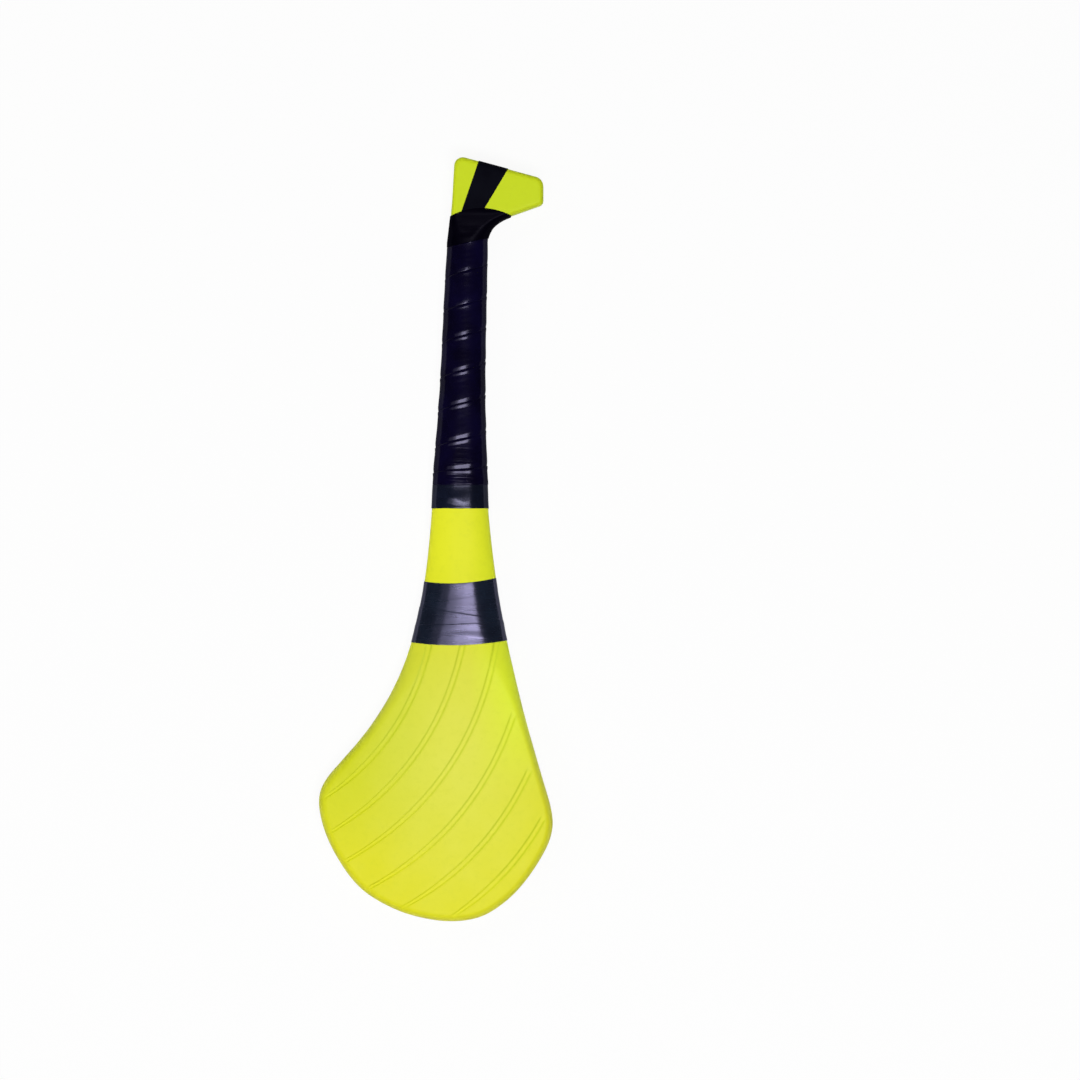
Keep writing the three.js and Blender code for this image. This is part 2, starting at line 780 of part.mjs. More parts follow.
function turnedSolid(profile) {
  const points = profile.map(([radius, height]) => point(radius, height));
  const geometry = new THREE.LatheGeometry(points, roundSteps);
  const frame = blowHoleFrame();
  geometry.rotateZ(frame.angle);
  geometry.translate(frame.position.x, frame.position.y, frame.position.z);
  return toSolid(geometry);
}

const cylinderProfile = (radius, low, high) => [[0, low], [radius, low], [radius, high], [0, high]];

function plugGeometry() {
  const shank = blowHoleRadius - touchGap;
  return toGeometry(turnedSolid([
    [0, -plugLength],
    [shank - plugTipChamfer, -plugLength],
    [shank, -plugLength + plugTipChamfer],
    [shank, -plugHeadThickness],
    [plugHeadRadius, -plugHeadThickness],
    [plugHeadRadius, 0],
    [0, 0],
  ]));
}

function bodyGeometry() {
  const outside = formSolid((y) => -seatDepth(y), rimColumns);
  const boss = turnedSolid(cylinderProfile(bossRadius, -bossDepth, overrun));
  const hollow = formSolid((y) => -seatDepth(y) - wall, hollowRimColumns).subtract(boss);
  const channel = throughPrism(grownOutline(strapOutline(), touchGap));
  const hole = turnedSolid(cylinderProfile(blowHoleRadius, -bossDepth - overrun, overrun));
  const seatRadius = plugHeadRadius + touchGap;
  const headSeat = turnedSolid(cylinderProfile(seatRadius, -plugHeadThickness - touchGap, overrun));
  let body = outside.subtract(hollow).subtract(channel.subtract(pommelSolid(-strapChannelDepth)));
  body = body.subtract(hole).subtract(headSeat);
  for (const face of [1, -1]) {
    for (const shares of grooveShares) {
      body = body.subtract(grooveCutter(shares, face));
    }
  }
  return toGeometry(body);
}

function strapGeometry() {
  const skin = pommelSolid(0).intersect(throughPrism(strapOutline()));
  return toGeometry(skin.subtract(pommelSolid(touchGap - strapChannelDepth)));
}

// The finishes
const yellowPlastic = { color: 0xe2e546, roughness: 0.42, metalness: 0 };
const blackTape = { color: 0x0e0f16, roughness: 0.5, metalness: 0 };
const wrapTape = { color: 0x0a061c, roughness: 0.4, metalness: 0 };
const slateTape = { color: 0x2f3950, roughness: 0.4, metalness: 0 };

function part(name, geometry, finish) {
  geometry.computeVertexNormals();
  const mesh = new THREE.Mesh(geometry, new THREE.MeshStandardMaterial(finish));
  mesh.name = name;
  return mesh;
}

const wrapRings = gripWrapRings();
const stick = new THREE.Group();
stick.add(
  part("moulded_body", bodyGeometry(), yellowPlastic),
  part("blow_hole_plug", plugGeometry(), yellowPlastic),
  part("pommel_strap", strapGeometry(), blackTape),
  part("neck_tape", neckTape(), blackTape),
  part("grip_wrap", ringsGeometry(wrapRings), wrapTape),
  part("grip_end_tape", gripEndTape(), slateTape),
  part("band_tape_upper", bandTape(bandSecondLap, bandHighEdge, touchGap), slateTape),
  part("band_tape_middle", bandTape(bandFirstLap, bandSecondLap, touchGap), slateTape),
  part("band_tape_lower", bandTape(bandLowEdge, bandFirstLap, 0), slateTape),
);
console.log("least gap of the wrap to itself, mm:", leastGapBetweenTurns(wrapRings).toFixed(3));

// Laid on its back, with the origin under the middle of its box
const box = new THREE.Box3().setFromObject(stick, true);
const centre = box.getCenter(new THREE.Vector3());
stick.position.set(-centre.x, -centre.y, -box.min.z);

const hurley = new THREE.Group();
hurley.add(stick);

export default hurley;
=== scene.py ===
import math

import bpy
import numpy as np
from mathutils.geometry import delaunay_2d_cdt
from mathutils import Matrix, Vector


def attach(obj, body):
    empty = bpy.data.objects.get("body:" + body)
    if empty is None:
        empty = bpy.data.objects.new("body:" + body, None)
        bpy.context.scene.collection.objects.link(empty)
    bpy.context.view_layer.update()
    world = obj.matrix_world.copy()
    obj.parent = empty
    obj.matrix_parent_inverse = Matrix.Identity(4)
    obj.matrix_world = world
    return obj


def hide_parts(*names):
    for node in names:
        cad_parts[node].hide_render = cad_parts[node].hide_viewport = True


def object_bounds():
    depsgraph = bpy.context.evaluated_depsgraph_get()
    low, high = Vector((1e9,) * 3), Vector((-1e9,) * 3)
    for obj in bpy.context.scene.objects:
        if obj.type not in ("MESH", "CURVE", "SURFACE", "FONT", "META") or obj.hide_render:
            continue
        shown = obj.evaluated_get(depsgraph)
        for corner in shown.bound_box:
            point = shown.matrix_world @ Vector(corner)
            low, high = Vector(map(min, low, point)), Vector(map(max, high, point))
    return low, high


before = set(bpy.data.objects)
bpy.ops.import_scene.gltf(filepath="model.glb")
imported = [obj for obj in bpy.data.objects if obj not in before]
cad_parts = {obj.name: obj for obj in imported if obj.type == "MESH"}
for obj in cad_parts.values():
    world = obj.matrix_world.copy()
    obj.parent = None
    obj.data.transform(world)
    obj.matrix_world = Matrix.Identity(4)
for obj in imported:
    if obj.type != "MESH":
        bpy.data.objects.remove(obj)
CAD_LOW, CAD_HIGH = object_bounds()

# Sizes are in millimetres here, in the stick's own frame: x from the handle's axis,
# y up from the tip of the bas, z from the middle plane. The row frame is a shift away, in metres
MM = 0.001
AXIS_X = 15.6177
TIP_Y = CAD_LOW.y / MM
MIDDLE_Z = (CAD_LOW.z + CAD_HIGH.z) / 2 / MM

# Heights up the stick
TOE_HEIGHT = 59.4
HEEL_HEIGHT = 71.4
THIN_HEIGHT = 128.0
THROAT = 166.0
BAND_TOP = 202.5
GRIP_END = 246.8
WRAP_END = 261.5
WAIST = 315.7
NECK = 401.8
POMMEL_BASE = 424.0
POMMEL_TOP = 458.6

# How far the outline reaches from the handle's axis
TIP_REACH = 5.6
HEEL_REACH = 85.7
TOE_REACH = 54.4
BAS_WIDTH = HEEL_REACH + TOE_REACH
BASE_REACH = 6.35
NECK_WIDTH = 24.1
NECK_LEFT_SHARE = 0.366

# Height, width, and the share of the width that lies left of the axis
STATIONS = [
    (THROAT, 57.9, 0.529), (BAND_TOP, 43.5, 0.522), (GRIP_END, 33.8, 0.534),
    (WRAP_END, 32.7, 0.533), (WAIST, 27.1, 0.491), (NECK, NECK_WIDTH, NECK_LEFT_SHARE),
]

# From the tip to the outermost point of a side: shares of the way out and up
HEEL_ROUND = [(0.14, 0.011), (0.38, 0.078), (0.62, 0.217), (0.74, 0.338), (0.857, 0.524),
              (0.937, 0.7), (0.982, 0.855)]
TOE_ROUND = [(0.155, 0.013), (0.3, 0.053), (0.452, 0.14), (0.612, 0.274), (0.772, 0.466),
             (0.93, 0.726), (0.984, 0.87)]

# From there to the throat: shares of the way up and in
HEEL_SIDE = [(0.076, 0.02), (0.152, 0.088), (0.265, 0.252), (0.4175, 0.478), (0.57, 0.662),
             (0.722, 0.8125), (0.873, 0.925)]
TOE_SIDE = [(0.079, 0.041), (0.146, 0.11), (0.281, 0.268), (0.4155, 0.42), (0.551, 0.572),
            (0.753, 0.773), (0.887, 0.896)]

# The pommel's corners, and the rounded bend under it
BACK_CORNER = (-4.4, POMMEL_TOP)
END_TOP = (48.8, 444.2)
END_LOW = (48.8, 428.9)
UNDERSIDE = (NECK_WIDTH * (1 - NECK_LEFT_SHARE), 416.9)
BACK_RADIUS = 5.3
END_TOP_RADIUS = 6.0
END_LOW_RADIUS = 3.0
FILLET_RUN = 14.3
FILLET_SHARE = 0.285

# Half of the thickness, and the rounded rim's width and rise
BAS_HALF = 11.0
HANDLE_HALF = 9.2
POMMEL_HALF = 10.2
PARTING_HALF = 0.6
BAS_RIM = 9.0
BAND_RIM = 17.0
HANDLE_RIM = 13.4
POMMEL_RIM = 3.0
POMMEL_RISE = 3.0

# Grooves: start x and y, end x and y, bulge, run on past the start, fade at the start.
# x and bulge are shares of the bas width, y of the throat's height, the rest of the groove's length
GROOVES = [
    (-0.141, 0.993, -0.59, 0.445, 0.079, 0.06, 0.0),
    (0.0, 0.986, -0.564, 0.322, 0.104, 0.06, 0.0),
    (0.145, 0.993, -0.5, 0.2175, 0.133, 0.05, 0.0),
    (0.226, 0.762, -0.402, 0.12, 0.101, 0.0, 0.04),
    (0.295, 0.56, -0.261, 0.048, 0.071, 0.0, 0.05),
    (0.355, 0.387, -0.045, 0.018, 0.0386, 0.0, 0.06),
]
GROOVE_DEPTH = 0.5

# How far a groove's flat floor and its edge lie from its middle line
GROOVE_FLOOR = 0.75
GROOVE_EDGE = 2.15

FULL_TURN = 2 * math.pi
TINY = 1e-9
CURVE_STEPS = 24
CORNER_STEPS = 10
RING_SPACING = 1.25
CHUNK = 4000
SEED = 11
rng = np.random.default_rng(SEED)


def mix(a, b, t):
    return a + (b - a) * t


def ramp(value, start, end):
    """0 up to the start, 1 past the end and smooth between them. The end may be the lower one."""
    t = np.clip((value - start) / (end - start), 0, 1)
    return t * t * (3 - 2 * t)


def srgb(r, g, b):
    """A colour as it is seen, 0 to 255, as the shader wants it."""
    def lin(c):
        c /= 255
        return c / 12.92 if c <= 0.04045 else ((c + 0.055) / 1.055) ** 2.4
    return (lin(r), lin(g), lin(b), 1)


# The outline

def smooth_curve(stops):
    """A centripetal curve through the stops, with even steps between each two."""
    p = np.array(stops, float)
    p = np.vstack([2 * p[0] - p[1], p, 2 * p[-1] - p[-2]])
    out = []
    for i in range(len(p) - 3):
        a, b, c, d = p[i:i + 4]
        d0, d1, d2 = (max(np.linalg.norm(v), TINY) ** 0.5 for v in (b - a, c - b, d - c))
        t1 = ((b - a) / d0 - (c - a) / (d0 + d1) + (c - b) / d1) * d1
        t2 = ((c - b) / d1 - (d - b) / (d1 + d2) + (d - c) / d2) * d1
        for w in np.arange(CURVE_STEPS) / CURVE_STEPS:
            out.append(b + t1 * w + (-3 * b + 3 * c - 2 * t1 - t2) * w ** 2
                       + (2 * b - 2 * c + t1 + t2) * w ** 3)
    out.append(p[-2])
    return np.array(out)


def side_place(side, width, left_share):
    return width * left_share if side < 0 else width * (1 - left_share)


def side_stops(side):
    """The stops of one side of the outline, from next to the tip up to the pommel's base."""
    reach, height = (HEEL_REACH, HEEL_HEIGHT) if side < 0 else (TOE_REACH, TOE_HEIGHT)
    rounds, sides = (HEEL_ROUND, HEEL_SIDE) if side < 0 else (TOE_ROUND, TOE_SIDE)
    throat = side_place(side, STATIONS[0][1], STATIONS[0][2])
    stops = [(mix(-TIP_REACH, side * reach, out), height * up) for out, up in rounds]
    stops.append((side * reach, height))
    stops += [(side * mix(reach, throat, inward), mix(height, THROAT, up)) for up, inward in sides]
    stops += [(side * side_place(side, w, s), y) for y, w, s in STATIONS]
    if side < 0:
        stops.append((-BASE_REACH, POMMEL_BASE))
    else:
        stops.append((UNDERSIDE[0], mix(NECK, UNDERSIDE[1], FILLET_SHARE)))
    return stops


def rounded(before, corner, after, radius):
    """The arc that rounds a corner off."""
    before, corner, after = (np.array(v, float) for v in (before, corner, after))
    u = (before - corner) / np.linalg.norm(before - corner)
    v = (after - corner) / np.linalg.norm(after - corner)
    half = math.acos(u @ v) / 2
    centre = corner + (u + v) / np.linalg.norm(u + v) * radius / math.sin(half)
    start = corner + u * radius / math.tan(half) - centre
    end = corner + v * radius / math.tan(half) - centre
    a = math.atan2(start[1], start[0])
    sweep = math.atan2(end[1], end[0]) - a
    sweep -= FULL_TURN * round(sweep / FULL_TURN)
    angles = a + sweep * np.arange(CORNER_STEPS + 1) / CORNER_STEPS
    return [centre + radius * np.array((math.cos(t), math.sin(t))) for t in angles]


def full_outline():
    """The outline's left and right halves, each from the tip up and round the pommel."""
    left, right = side_stops(-1), side_stops(1)
    chain = smooth_curve(left[::-1] + [(-TIP_REACH, 0)] + right)
    tip = len(left) * CURVE_STEPS
    lower_left, lower_right = chain[:tip + 1][::-1], chain[tip:]
    neck_left, neck_right = lower_left[-1], lower_right[-1]
    under = np.array(UNDERSIDE)
    along = np.array(END_LOW) - under
    fillet_end = under + along / np.linalg.norm(along) * FILLET_RUN
    t = (np.arange(1, CURVE_STEPS + 1) / CURVE_STEPS)[:, None]
    fillet = (1 - t) ** 2 * neck_right + 2 * t * (1 - t) * under + t ** 2 * fillet_end
    back = rounded(neck_left, BACK_CORNER, END_TOP, BACK_RADIUS)
    end_top = rounded(BACK_CORNER, END_TOP, END_LOW, END_TOP_RADIUS)
    end_low = rounded(fillet_end, END_LOW, END_TOP, END_LOW_RADIUS)
    return np.vstack([lower_left, back, end_top]), np.vstack([lower_right, fillet, end_low])


LEFT, RIGHT = full_outline()


def respaced(chain):
    run = np.concatenate([[0], np.cumsum(np.linalg.norm(np.diff(chain, axis=0), axis=1))])
    count = int(round(run[-1] / RING_SPACING))
    at = np.linspace(0, run[-1], count + 1)
    return np.column_stack([np.interp(at, run, chain[:, 0]), np.interp(at, run, chain[:, 1])])


RING = respaced(np.vstack([LEFT, RIGHT[::-1]]))[:-1]
RING_NEXT = np.roll(RING, -1, axis=0)


def nearest_edge(x, y):
    """Distance in from the outline, positive inside, and the outline's step that is nearest."""
    x, y = np.broadcast_arrays(np.asarray(x, float), np.asarray(y, float))
    flat_x, flat_y = x.ravel(), y.ravel()
    out, step = np.empty(flat_x.size), np.empty(flat_x.size, int)
    ax, ay = RING[:, 0].astype(np.float32), RING[:, 1].astype(np.float32)
    bx, by = RING_NEXT[:, 0].astype(np.float32), RING_NEXT[:, 1].astype(np.float32)
    dx, dy = bx - ax, by - ay
    span = dx * dx + dy * dy
    rise = np.where(np.abs(dy) < TINY, TINY, dy)
    for start in range(0, flat_x.size, CHUNK):
        px = flat_x[start:start + CHUNK, None].astype(np.float32) - ax
        py = flat_y[start:start + CHUNK, None].astype(np.float32)
        qy = py - ay
        share = np.clip((px * dx + qy * dy) / span, 0, 1)
        square = (px - dx * share) ** 2 + (qy - dy * share) ** 2
        nearest = square.argmin(1)
        near = np.sqrt(square[np.arange(len(nearest)), nearest])
        cross = ((ay > py) != (by > py)) & (px < dx * qy / rise)
        inside = cross.sum(1) % 2 == 1
        out[start:start + CHUNK] = np.where(inside, near, -near)
        step[start:start + CHUNK] = nearest
    return out.reshape(x.shape), step.reshape(x.shape)


def edge_distance(x, y):
    return nearest_edge(x, y)[0]


def ring_inward():
    way = RING_NEXT - np.roll(RING, 1, axis=0)
    way /= np.linalg.norm(way, axis=1)[:, None]
    return np.column_stack([way[:, 1], -way[:, 0]])


INWARD = ring_inward()

# The rim's width on the bas, as a share of the plain rim: tight round the tip and the outer
# sides, a little broader on the hollow side, and full from the throat up
TIGHT_RIM = 0.5
HOLLOW_RIM = 0.6
HOLLOW_WAY = (0.75, -0.66)
HOLLOW_FACING = (0.15, 0.75)
FULL_RIM_FROM = (115, 163)
RIM_BLUR = 17


def ring_rim_share():
    share = mix(TIGHT_RIM, HOLLOW_RIM, ramp(INWARD @ HOLLOW_WAY, *HOLLOW_FACING))
    share = mix(share, 1.0, ramp(RING[:, 1], *FULL_RIM_FROM))
    around = np.concatenate([share[-RIM_BLUR:], share, share[:RIM_BLUR]])
    window = 2 * RIM_BLUR + 1
    return np.convolve(around, np.ones(window) / window, "valid")


RIM_SHARE = ring_rim_share()


# The surface of both faces

def half_thickness(y):
    flare = np.clip((y - NECK) / (POMMEL_BASE - NECK), 0, 1)
    fall = ramp(y, THIN_HEIGHT, WRAP_END)
    return mix(BAS_HALF, HANDLE_HALF, fall) + (POMMEL_HALF - HANDLE_HALF) * flare ** 2


def rim(y):
    """The rim's width, and its rise from the parting line to the face."""
    hook = ramp(y, NECK, POMMEL_BASE)
    width = mix(BAS_RIM, BAND_RIM, ramp(y, THIN_HEIGHT, THROAT))
    width = mix(width, HANDLE_RIM, ramp(y, BAND_TOP, WRAP_END))
    rise = half_thickness(y) - PARTING_HALF
    return mix(width, POMMEL_RIM, hook), mix(rise, POMMEL_RISE, hook)


# How far the faces fall from their middle to the rim, on the bas, on the shaft, and under the
# band on top of that. On the bas they fall over so much depth, on the shaft over a share of its
# half width, which leaves no crease along the middle. Each fall comes in from one pair of heights
# and goes out at another, and the first height of a pair has none of it
BAS_FALL = 0.9
BAS_FALL_DEPTH = 42
BAS_FALL_UP_TO = (THROAT, THROAT - 40)
SHAFT_FALL = 0.35
SHAFT_FALL_SHARE = 0.94
SHAFT_FALL_FROM = (146, 176)
SHAFT_FALL_UP_TO = (NECK + 12, NECK - 8)
BAND_FALL = 2.5
BAND_FALL_FROM = (152, THROAT)
BAND_FALL_UP_TO = (232, 200)
FALL_HEIGHTS = [y for y, w, s in STATIONS]
FALL_DEPTHS = [SHAFT_FALL_SHARE / 2 * w for y, w, s in STATIONS]


def crown(depth, y):
    """Both the bas and the shaft are a little fuller in the middle than at the rim."""
    bas = BAS_FALL * np.clip(1 - depth / BAS_FALL_DEPTH, 0, 1) ** 2 * ramp(y, *BAS_FALL_UP_TO)
    over = np.interp(y, FALL_HEIGHTS, FALL_DEPTHS)
    fall = SHAFT_FALL + BAND_FALL * ramp(y, *BAND_FALL_FROM) * ramp(y, *BAND_FALL_UP_TO)
    shaft = fall * np.clip(1 - depth / over, 0, 1) ** 2
    return bas + shaft * ramp(y, *SHAFT_FALL_FROM) * ramp(y, *SHAFT_FALL_UP_TO)


def surface_height(x, y, growth):
    """The face's height over the middle plane, for a skin grown by so much."""
    width, rise = rim(y)
    depth, step = nearest_edge(x, y)
    width = width * RIM_SHARE[step]
    share = np.clip((depth + growth) / (width + growth), 0, 1)
    top = half_thickness(y) - rise + (rise + growth) * np.sqrt(1 - (1 - share) ** 2)
    return top - crown(depth, y) * (1 - (1 - share) ** 2)


RIPPLE_WAVES = 14
RIPPLE_REACH = 1.8


class Ripple:
    """A smooth uneven field over two lengths, the same each run."""

    def __init__(self, length_u, length_v):
        self.ku = rng.normal(0, 1, RIPPLE_WAVES) * FULL_TURN / length_u
        self.kv = rng.normal(0, 1, RIPPLE_WAVES) * FULL_TURN / length_v
        self.phase = rng.uniform(0, FULL_TURN, RIPPLE_WAVES)

    def __call__(self, u, v):
        total = 0
        for ku, kv, phase in zip(self.ku, self.kv, self.phase):
            total = total + np.sin(ku * u + kv * v + phase)
        return total / math.sqrt(RIPPLE_WAVES / 2) / RIPPLE_REACH


def to_row(points):
    points = np.asarray(points, float).reshape(-1, 3)
    return (points + (AXIS_X, TIP_Y, MIDDLE_Z)) * MM


# How squarely a place faces up or down where it is a flank, and where it is the face
FACING = (0.6, 0.9)


def new_piece(name, points, faces, node, sharp):
    """A piece in place of a node. Its flanks are marked as dull: on the tapes they are more matt,
    and on the moulding's pommel they take a brown that is partly scuffs and partly painted shade.
    """
    mesh = bpy.data.meshes.new(name)
    mesh.from_pydata(to_row(points).tolist(), [], [list(map(int, f)) for f in faces])
    mesh.validate()
    mesh.polygons.foreach_set("use_smooth", np.ones(len(mesh.polygons), bool))
    mesh.set_sharp_from_angle(angle=math.radians(sharp))
    facing = np.abs([normal.vector.z for normal in mesh.vertex_normals])
    dull = mesh.attributes.new("dull", "FLOAT", "POINT")
    dull.data.foreach_set("value", (1 - ramp(facing, *FACING)).astype(np.float32))
    piece = bpy.data.objects.new(name, mesh)
    bpy.context.scene.collection.objects.link(piece)
    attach(piece, "root")
    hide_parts(node)
    return piece


# The moulded body

# A groove's depth and width change along it, between shares of its way. So does the painted shade
# # along its two lips, the edges of its walls, which stands so far from its middle line and is so
# wide
GROOVE_STEP = 1.5
GROOVE_STOP = (1.005, 0.985)
NARROW_FROM = (0.66, 1)
LOWER_END_WIDTH = 0.55
DEEPER_FROM = (0.6, 1)
UPPER_STRENGTH = 0.9
LOWER_STRENGTH = 1.25
WALL_SHADE_PLACE = 1.5
WALL_SHADE_WIDTH = 0.6
FAINT_WALL_SHADE_FROM = (0.4, 0.8)
LOWER_END_WALL_SHADE = 0.35
NEAR_GROOVE = 4


def groove_lines():
    """Each groove's middle line, its sideways directions, its shares of the way and its fade."""
    lines = []
    for sx, sy, ex, ey, bulge, run_on, fade in GROOVES:
        start = np.array((sx * BAS_WIDTH, sy * THROAT))
        end = np.array((ex * BAS_WIDTH, ey * THROAT))
        along = end - start
        outward = np.array((-along[1], along[0])) / np.linalg.norm(along) * bulge * BAS_WIDTH * 2
        middle = (start + end) / 2 + outward
        count = int(np.linalg.norm(along) * (1 + run_on) / GROOVE_STEP)
        t = np.linspace(-run_on, 1, count + 1)[:, None]
        line = (1 - t) ** 2 * start + 2 * t * (1 - t) * middle + t ** 2 * end
        way = 2 * (1 - t) * (middle - start) + 2 * t * (end - middle)
        way /= np.linalg.norm(way, axis=1)[:, None]
        side = np.column_stack([-way[:, 1], way[:, 0]])
        lines.append((line, side, t[:, 0], fade))
    return lines


GROOVE_LINES = groove_lines()


def groove_scale(t):
    """A groove narrows towards the heel side."""
    return mix(1, LOWER_END_WIDTH, ramp(t, *NARROW_FROM))


def groove_strength(t, fade):
    """How much of its depth a groove has along its way. It is deepest near its lower end."""
    start = ramp(t, 0, fade) if fade > 0 else np.ones_like(t)
    deepening = mix(UPPER_STRENGTH, LOWER_STRENGTH, ramp(t, *DEEPER_FROM))
    return start * ramp(t, *GROOVE_STOP) * deepening


def groove_depth(x, y):
    """How deep the grooves are at each place, and how near a place is to a groove's wall, for
    painted shade there.
    """
    depth, lip = np.zeros(x.size), np.zeros(x.size)
    for line, side, t, fade in GROOVE_LINES:
        low, high = line.min(0) - NEAR_GROOVE, line.max(0) + NEAR_GROOVE
        near = np.flatnonzero((x > low[0]) & (x < high[0]) & (y > low[1]) & (y < high[1]))
        a, b = line[:-1], line[1:]
        d = b - a
        for start in range(0, near.size, CHUNK):
            part = near[start:start + CHUNK]
            px, py = x[part, None] - a[:, 0], y[part, None] - a[:, 1]
            share = np.clip((px * d[:, 0] + py * d[:, 1]) / (d ** 2).sum(1), 0, 1)
            away = np.hypot(px - d[:, 0] * share, py - d[:, 1] * share)
            k = away.argmin(1)
            rows = np.arange(part.size)
            away, at = away[rows, k], t[k] + (t[k + 1] - t[k]) * share[rows, k]
            away, strength = away / groove_scale(at), groove_strength(at, fade)
            dip = strength * ramp(away, GROOVE_EDGE, GROOVE_FLOOR)
            depth[part] = np.maximum(depth[part], dip)
            # Painted shade along the edges of the groove's walls, fainter towards its lower end
            edge = strength * np.exp(-((away - WALL_SHADE_PLACE) / WALL_SHADE_WIDTH) ** 2)
            edge = edge * mix(1, LOWER_END_WALL_SHADE, ramp(at, *FAINT_WALL_SHADE_FROM))
            lip[part] = np.maximum(lip[part], edge)
    return depth, lip


# How far the body drops under the wrap and the band, and between which heights
GRIP_SEAT = 0.9
GRIP_SEAT_FROM = (GRIP_END + 1.4, GRIP_END + 4.4)
GRIP_SEAT_UP_TO = (NECK + 6.5, NECK + 3.5)
BAND_SEAT = 0.45
BAND_SEAT_FROM = (THROAT + 2.5, THROAT + 6.5)
BAND_SEAT_UP_TO = (BAND_TOP - 3.5, BAND_TOP - 7.5)


def body_seat(y):
    grip = ramp(y, *GRIP_SEAT_FROM) * ramp(y, *GRIP_SEAT_UP_TO)
    band = ramp(y, *BAND_SEAT_FROM) * ramp(y, *BAND_SEAT_UP_TO)
    return GRIP_SEAT * grip + BAND_SEAT * band


# The wall between the two faces: depth in from the outline, and height over the middle plane
WALL_DEPTH = 0.16
WALL_ROWS = [(WALL_DEPTH, 0.45), (0.07, 0.28), (0.07, -0.28), (WALL_DEPTH, -0.45)]

# The mesh of the faces: rows along the rim and along each groove, and an even fill. Places of
# each kind keep a least distance to those that were kept before them
RIM_ROWS = 11
TIGHT_ROWS = 4
ROW_STEP = 0.12
ROW_SLACK = 0.05
GROOVE_OFFSETS = (0, 0.4, 0.75, 0.98, 1.2, 1.42, 1.65, 1.9, 2.15, 2.6, 3.2)
GROOVE_TO_EDGE = 0.4
FILL_STEP = 2.3
FILL_TO_RIM = 0.6
TRIANGLE_HEIGHT = 0.866
GROOVE_LEAST = 0.2
TIGHT_LEAST = 0.18
RIM_LEAST = 0.4
FILL_LEAST = 1.1
MERGED = 1e-6
CELL = 1.2


def rim_places(row):
    """One row of places along the rim, apart from those that another side is nearer to."""
    rim_width = rim(RING[:, 1])[0] * RIM_SHARE
    angle = math.pi / 2 * row / RIM_ROWS
    depth = np.maximum(rim_width * (1 - math.cos(angle)), WALL_DEPTH + ROW_STEP * row)
    places = RING + INWARD * depth[:, None]
    return places[np.abs(edge_distance(places[:, 0], places[:, 1]) - depth) < ROW_SLACK]


def groove_places():
    places = []
    for line, side, t, fade in GROOVE_LINES:
        scale = groove_scale(t)[:, None]
        for offset in GROOVE_OFFSETS:
            for sign in ((1, -1) if offset else (1,)):
                places.append(line + side * offset * sign * scale)
    places = np.vstack(places)
    return places[edge_distance(places[:, 0], places[:, 1]) > GROOVE_TO_EDGE]


def fill_places():
    """An even fill of the faces, inside the rim."""
    xs, ys = np.meshgrid(np.arange(-HEEL_REACH, TOE_REACH, FILL_STEP),
                         np.arange(0, POMMEL_TOP, FILL_STEP * TRIANGLE_HEIGHT))
    xs = xs + (np.arange(len(xs)) % 2 * FILL_STEP / 2)[:, None]
    places = np.column_stack([xs.ravel(), ys.ravel()])
    depth, nearest = nearest_edge(places[:, 0], places[:, 1])
    return places[depth > rim(places[:, 1])[0] * RIM_SHARE[nearest] + FILL_TO_RIM]


def body_places():
    """The border's places, and groups of places inside it with the least distance of each."""
    groups = [(groove_places(), GROOVE_LEAST)]
    for row in range(1, RIM_ROWS + 1):
        groups.append((rim_places(row), TIGHT_LEAST if row <= TIGHT_ROWS else RIM_LEAST))
    groups.append((fill_places(), FILL_LEAST))
    return RING + INWARD * WALL_DEPTH, groups


def thinned(border, groups):
    """Keeps each place that isn't too close to one that was kept before it."""
    cells, kept = {}, []

    def near(place, least):
        reach = int(math.ceil(least / CELL))
        cx, cy = int(place[0] // CELL), int(place[1] // CELL)
        for ix in range(cx - reach, cx + reach + 1):
            for iy in range(cy - reach, cy + reach + 1):
                for x, y in cells.get((ix, iy), ()):
                    if (x - place[0]) ** 2 + (y - place[1]) ** 2 < least * least:
                        return True
        return False

    def keep(place):
        cell = (int(place[0] // CELL), int(place[1] // CELL))
        cells.setdefault(cell, []).append(tuple(place))
        kept.append(tuple(place))

    for place in border:
        keep(place)
    for places, least in groups:
        for place in places:
            if not near(place, least):
                keep(place)
    return kept


def face_plan():
    """The face in plan: its places, its triangles, and which places are the border's."""
    border, groups = body_places()
    count = len(border)
    edges = [(i, (i + 1) % count) for i in range(count)]
    result = delaunay_2d_cdt(thinned(border, groups), edges, [], 1, MERGED, True)
    plan = np.array([tuple(v) for v in result[0]])
    faces = np.array(result[2])
    source = {orig[0]: i for i, orig in enumerate(result[3]) if len(orig)}
    ring = np.array([source[i] for i in range(count)])
    centre = plan[faces].mean(axis=1)
    faces = faces[edge_distance(centre[:, 0], centre[:, 1]) > 0]
    ends = plan[faces]
    turn = np.cross(ends[:, 1] - ends[:, 0], ends[:, 2] - ends[:, 0])
    return plan, np.where((turn > 0)[:, None], faces, faces[:, ::-1]), ring


def body_mesh():
    """Both faces and the wall between them, with each face's groove depth and the painted shade
    along its groove walls.
    """
    plan, faces, ring = face_plan()
    x, y = plan[:, 0], plan[:, 1]
    dip, lip = groove_depth(x, y)
    z = surface_height(x, y, -body_seat(y)) - dip * GROOVE_DEPTH
    total, count = len(plan), len(ring)
    points = [np.column_stack([x, y, z]), np.column_stack([x, y, -z])]
    all_faces = faces.tolist() + (faces[:, ::-1] + total).tolist()
    rows = [ring]
    used = 2 * total
    for depth, height in WALL_ROWS:
        points.append(np.column_stack([RING + INWARD * depth, np.full(count, height)]))
        rows.append(np.arange(count) + used)
        used += count
    rows.append(ring + total)
    for upper, lower in zip(rows, rows[1:]):
        quads = np.column_stack([upper, np.roll(upper, -1), np.roll(lower, -1), lower])
        all_faces += quads.tolist()
    return np.vstack(points), all_faces, np.concatenate([dip, dip]), np.concatenate([lip, lip])


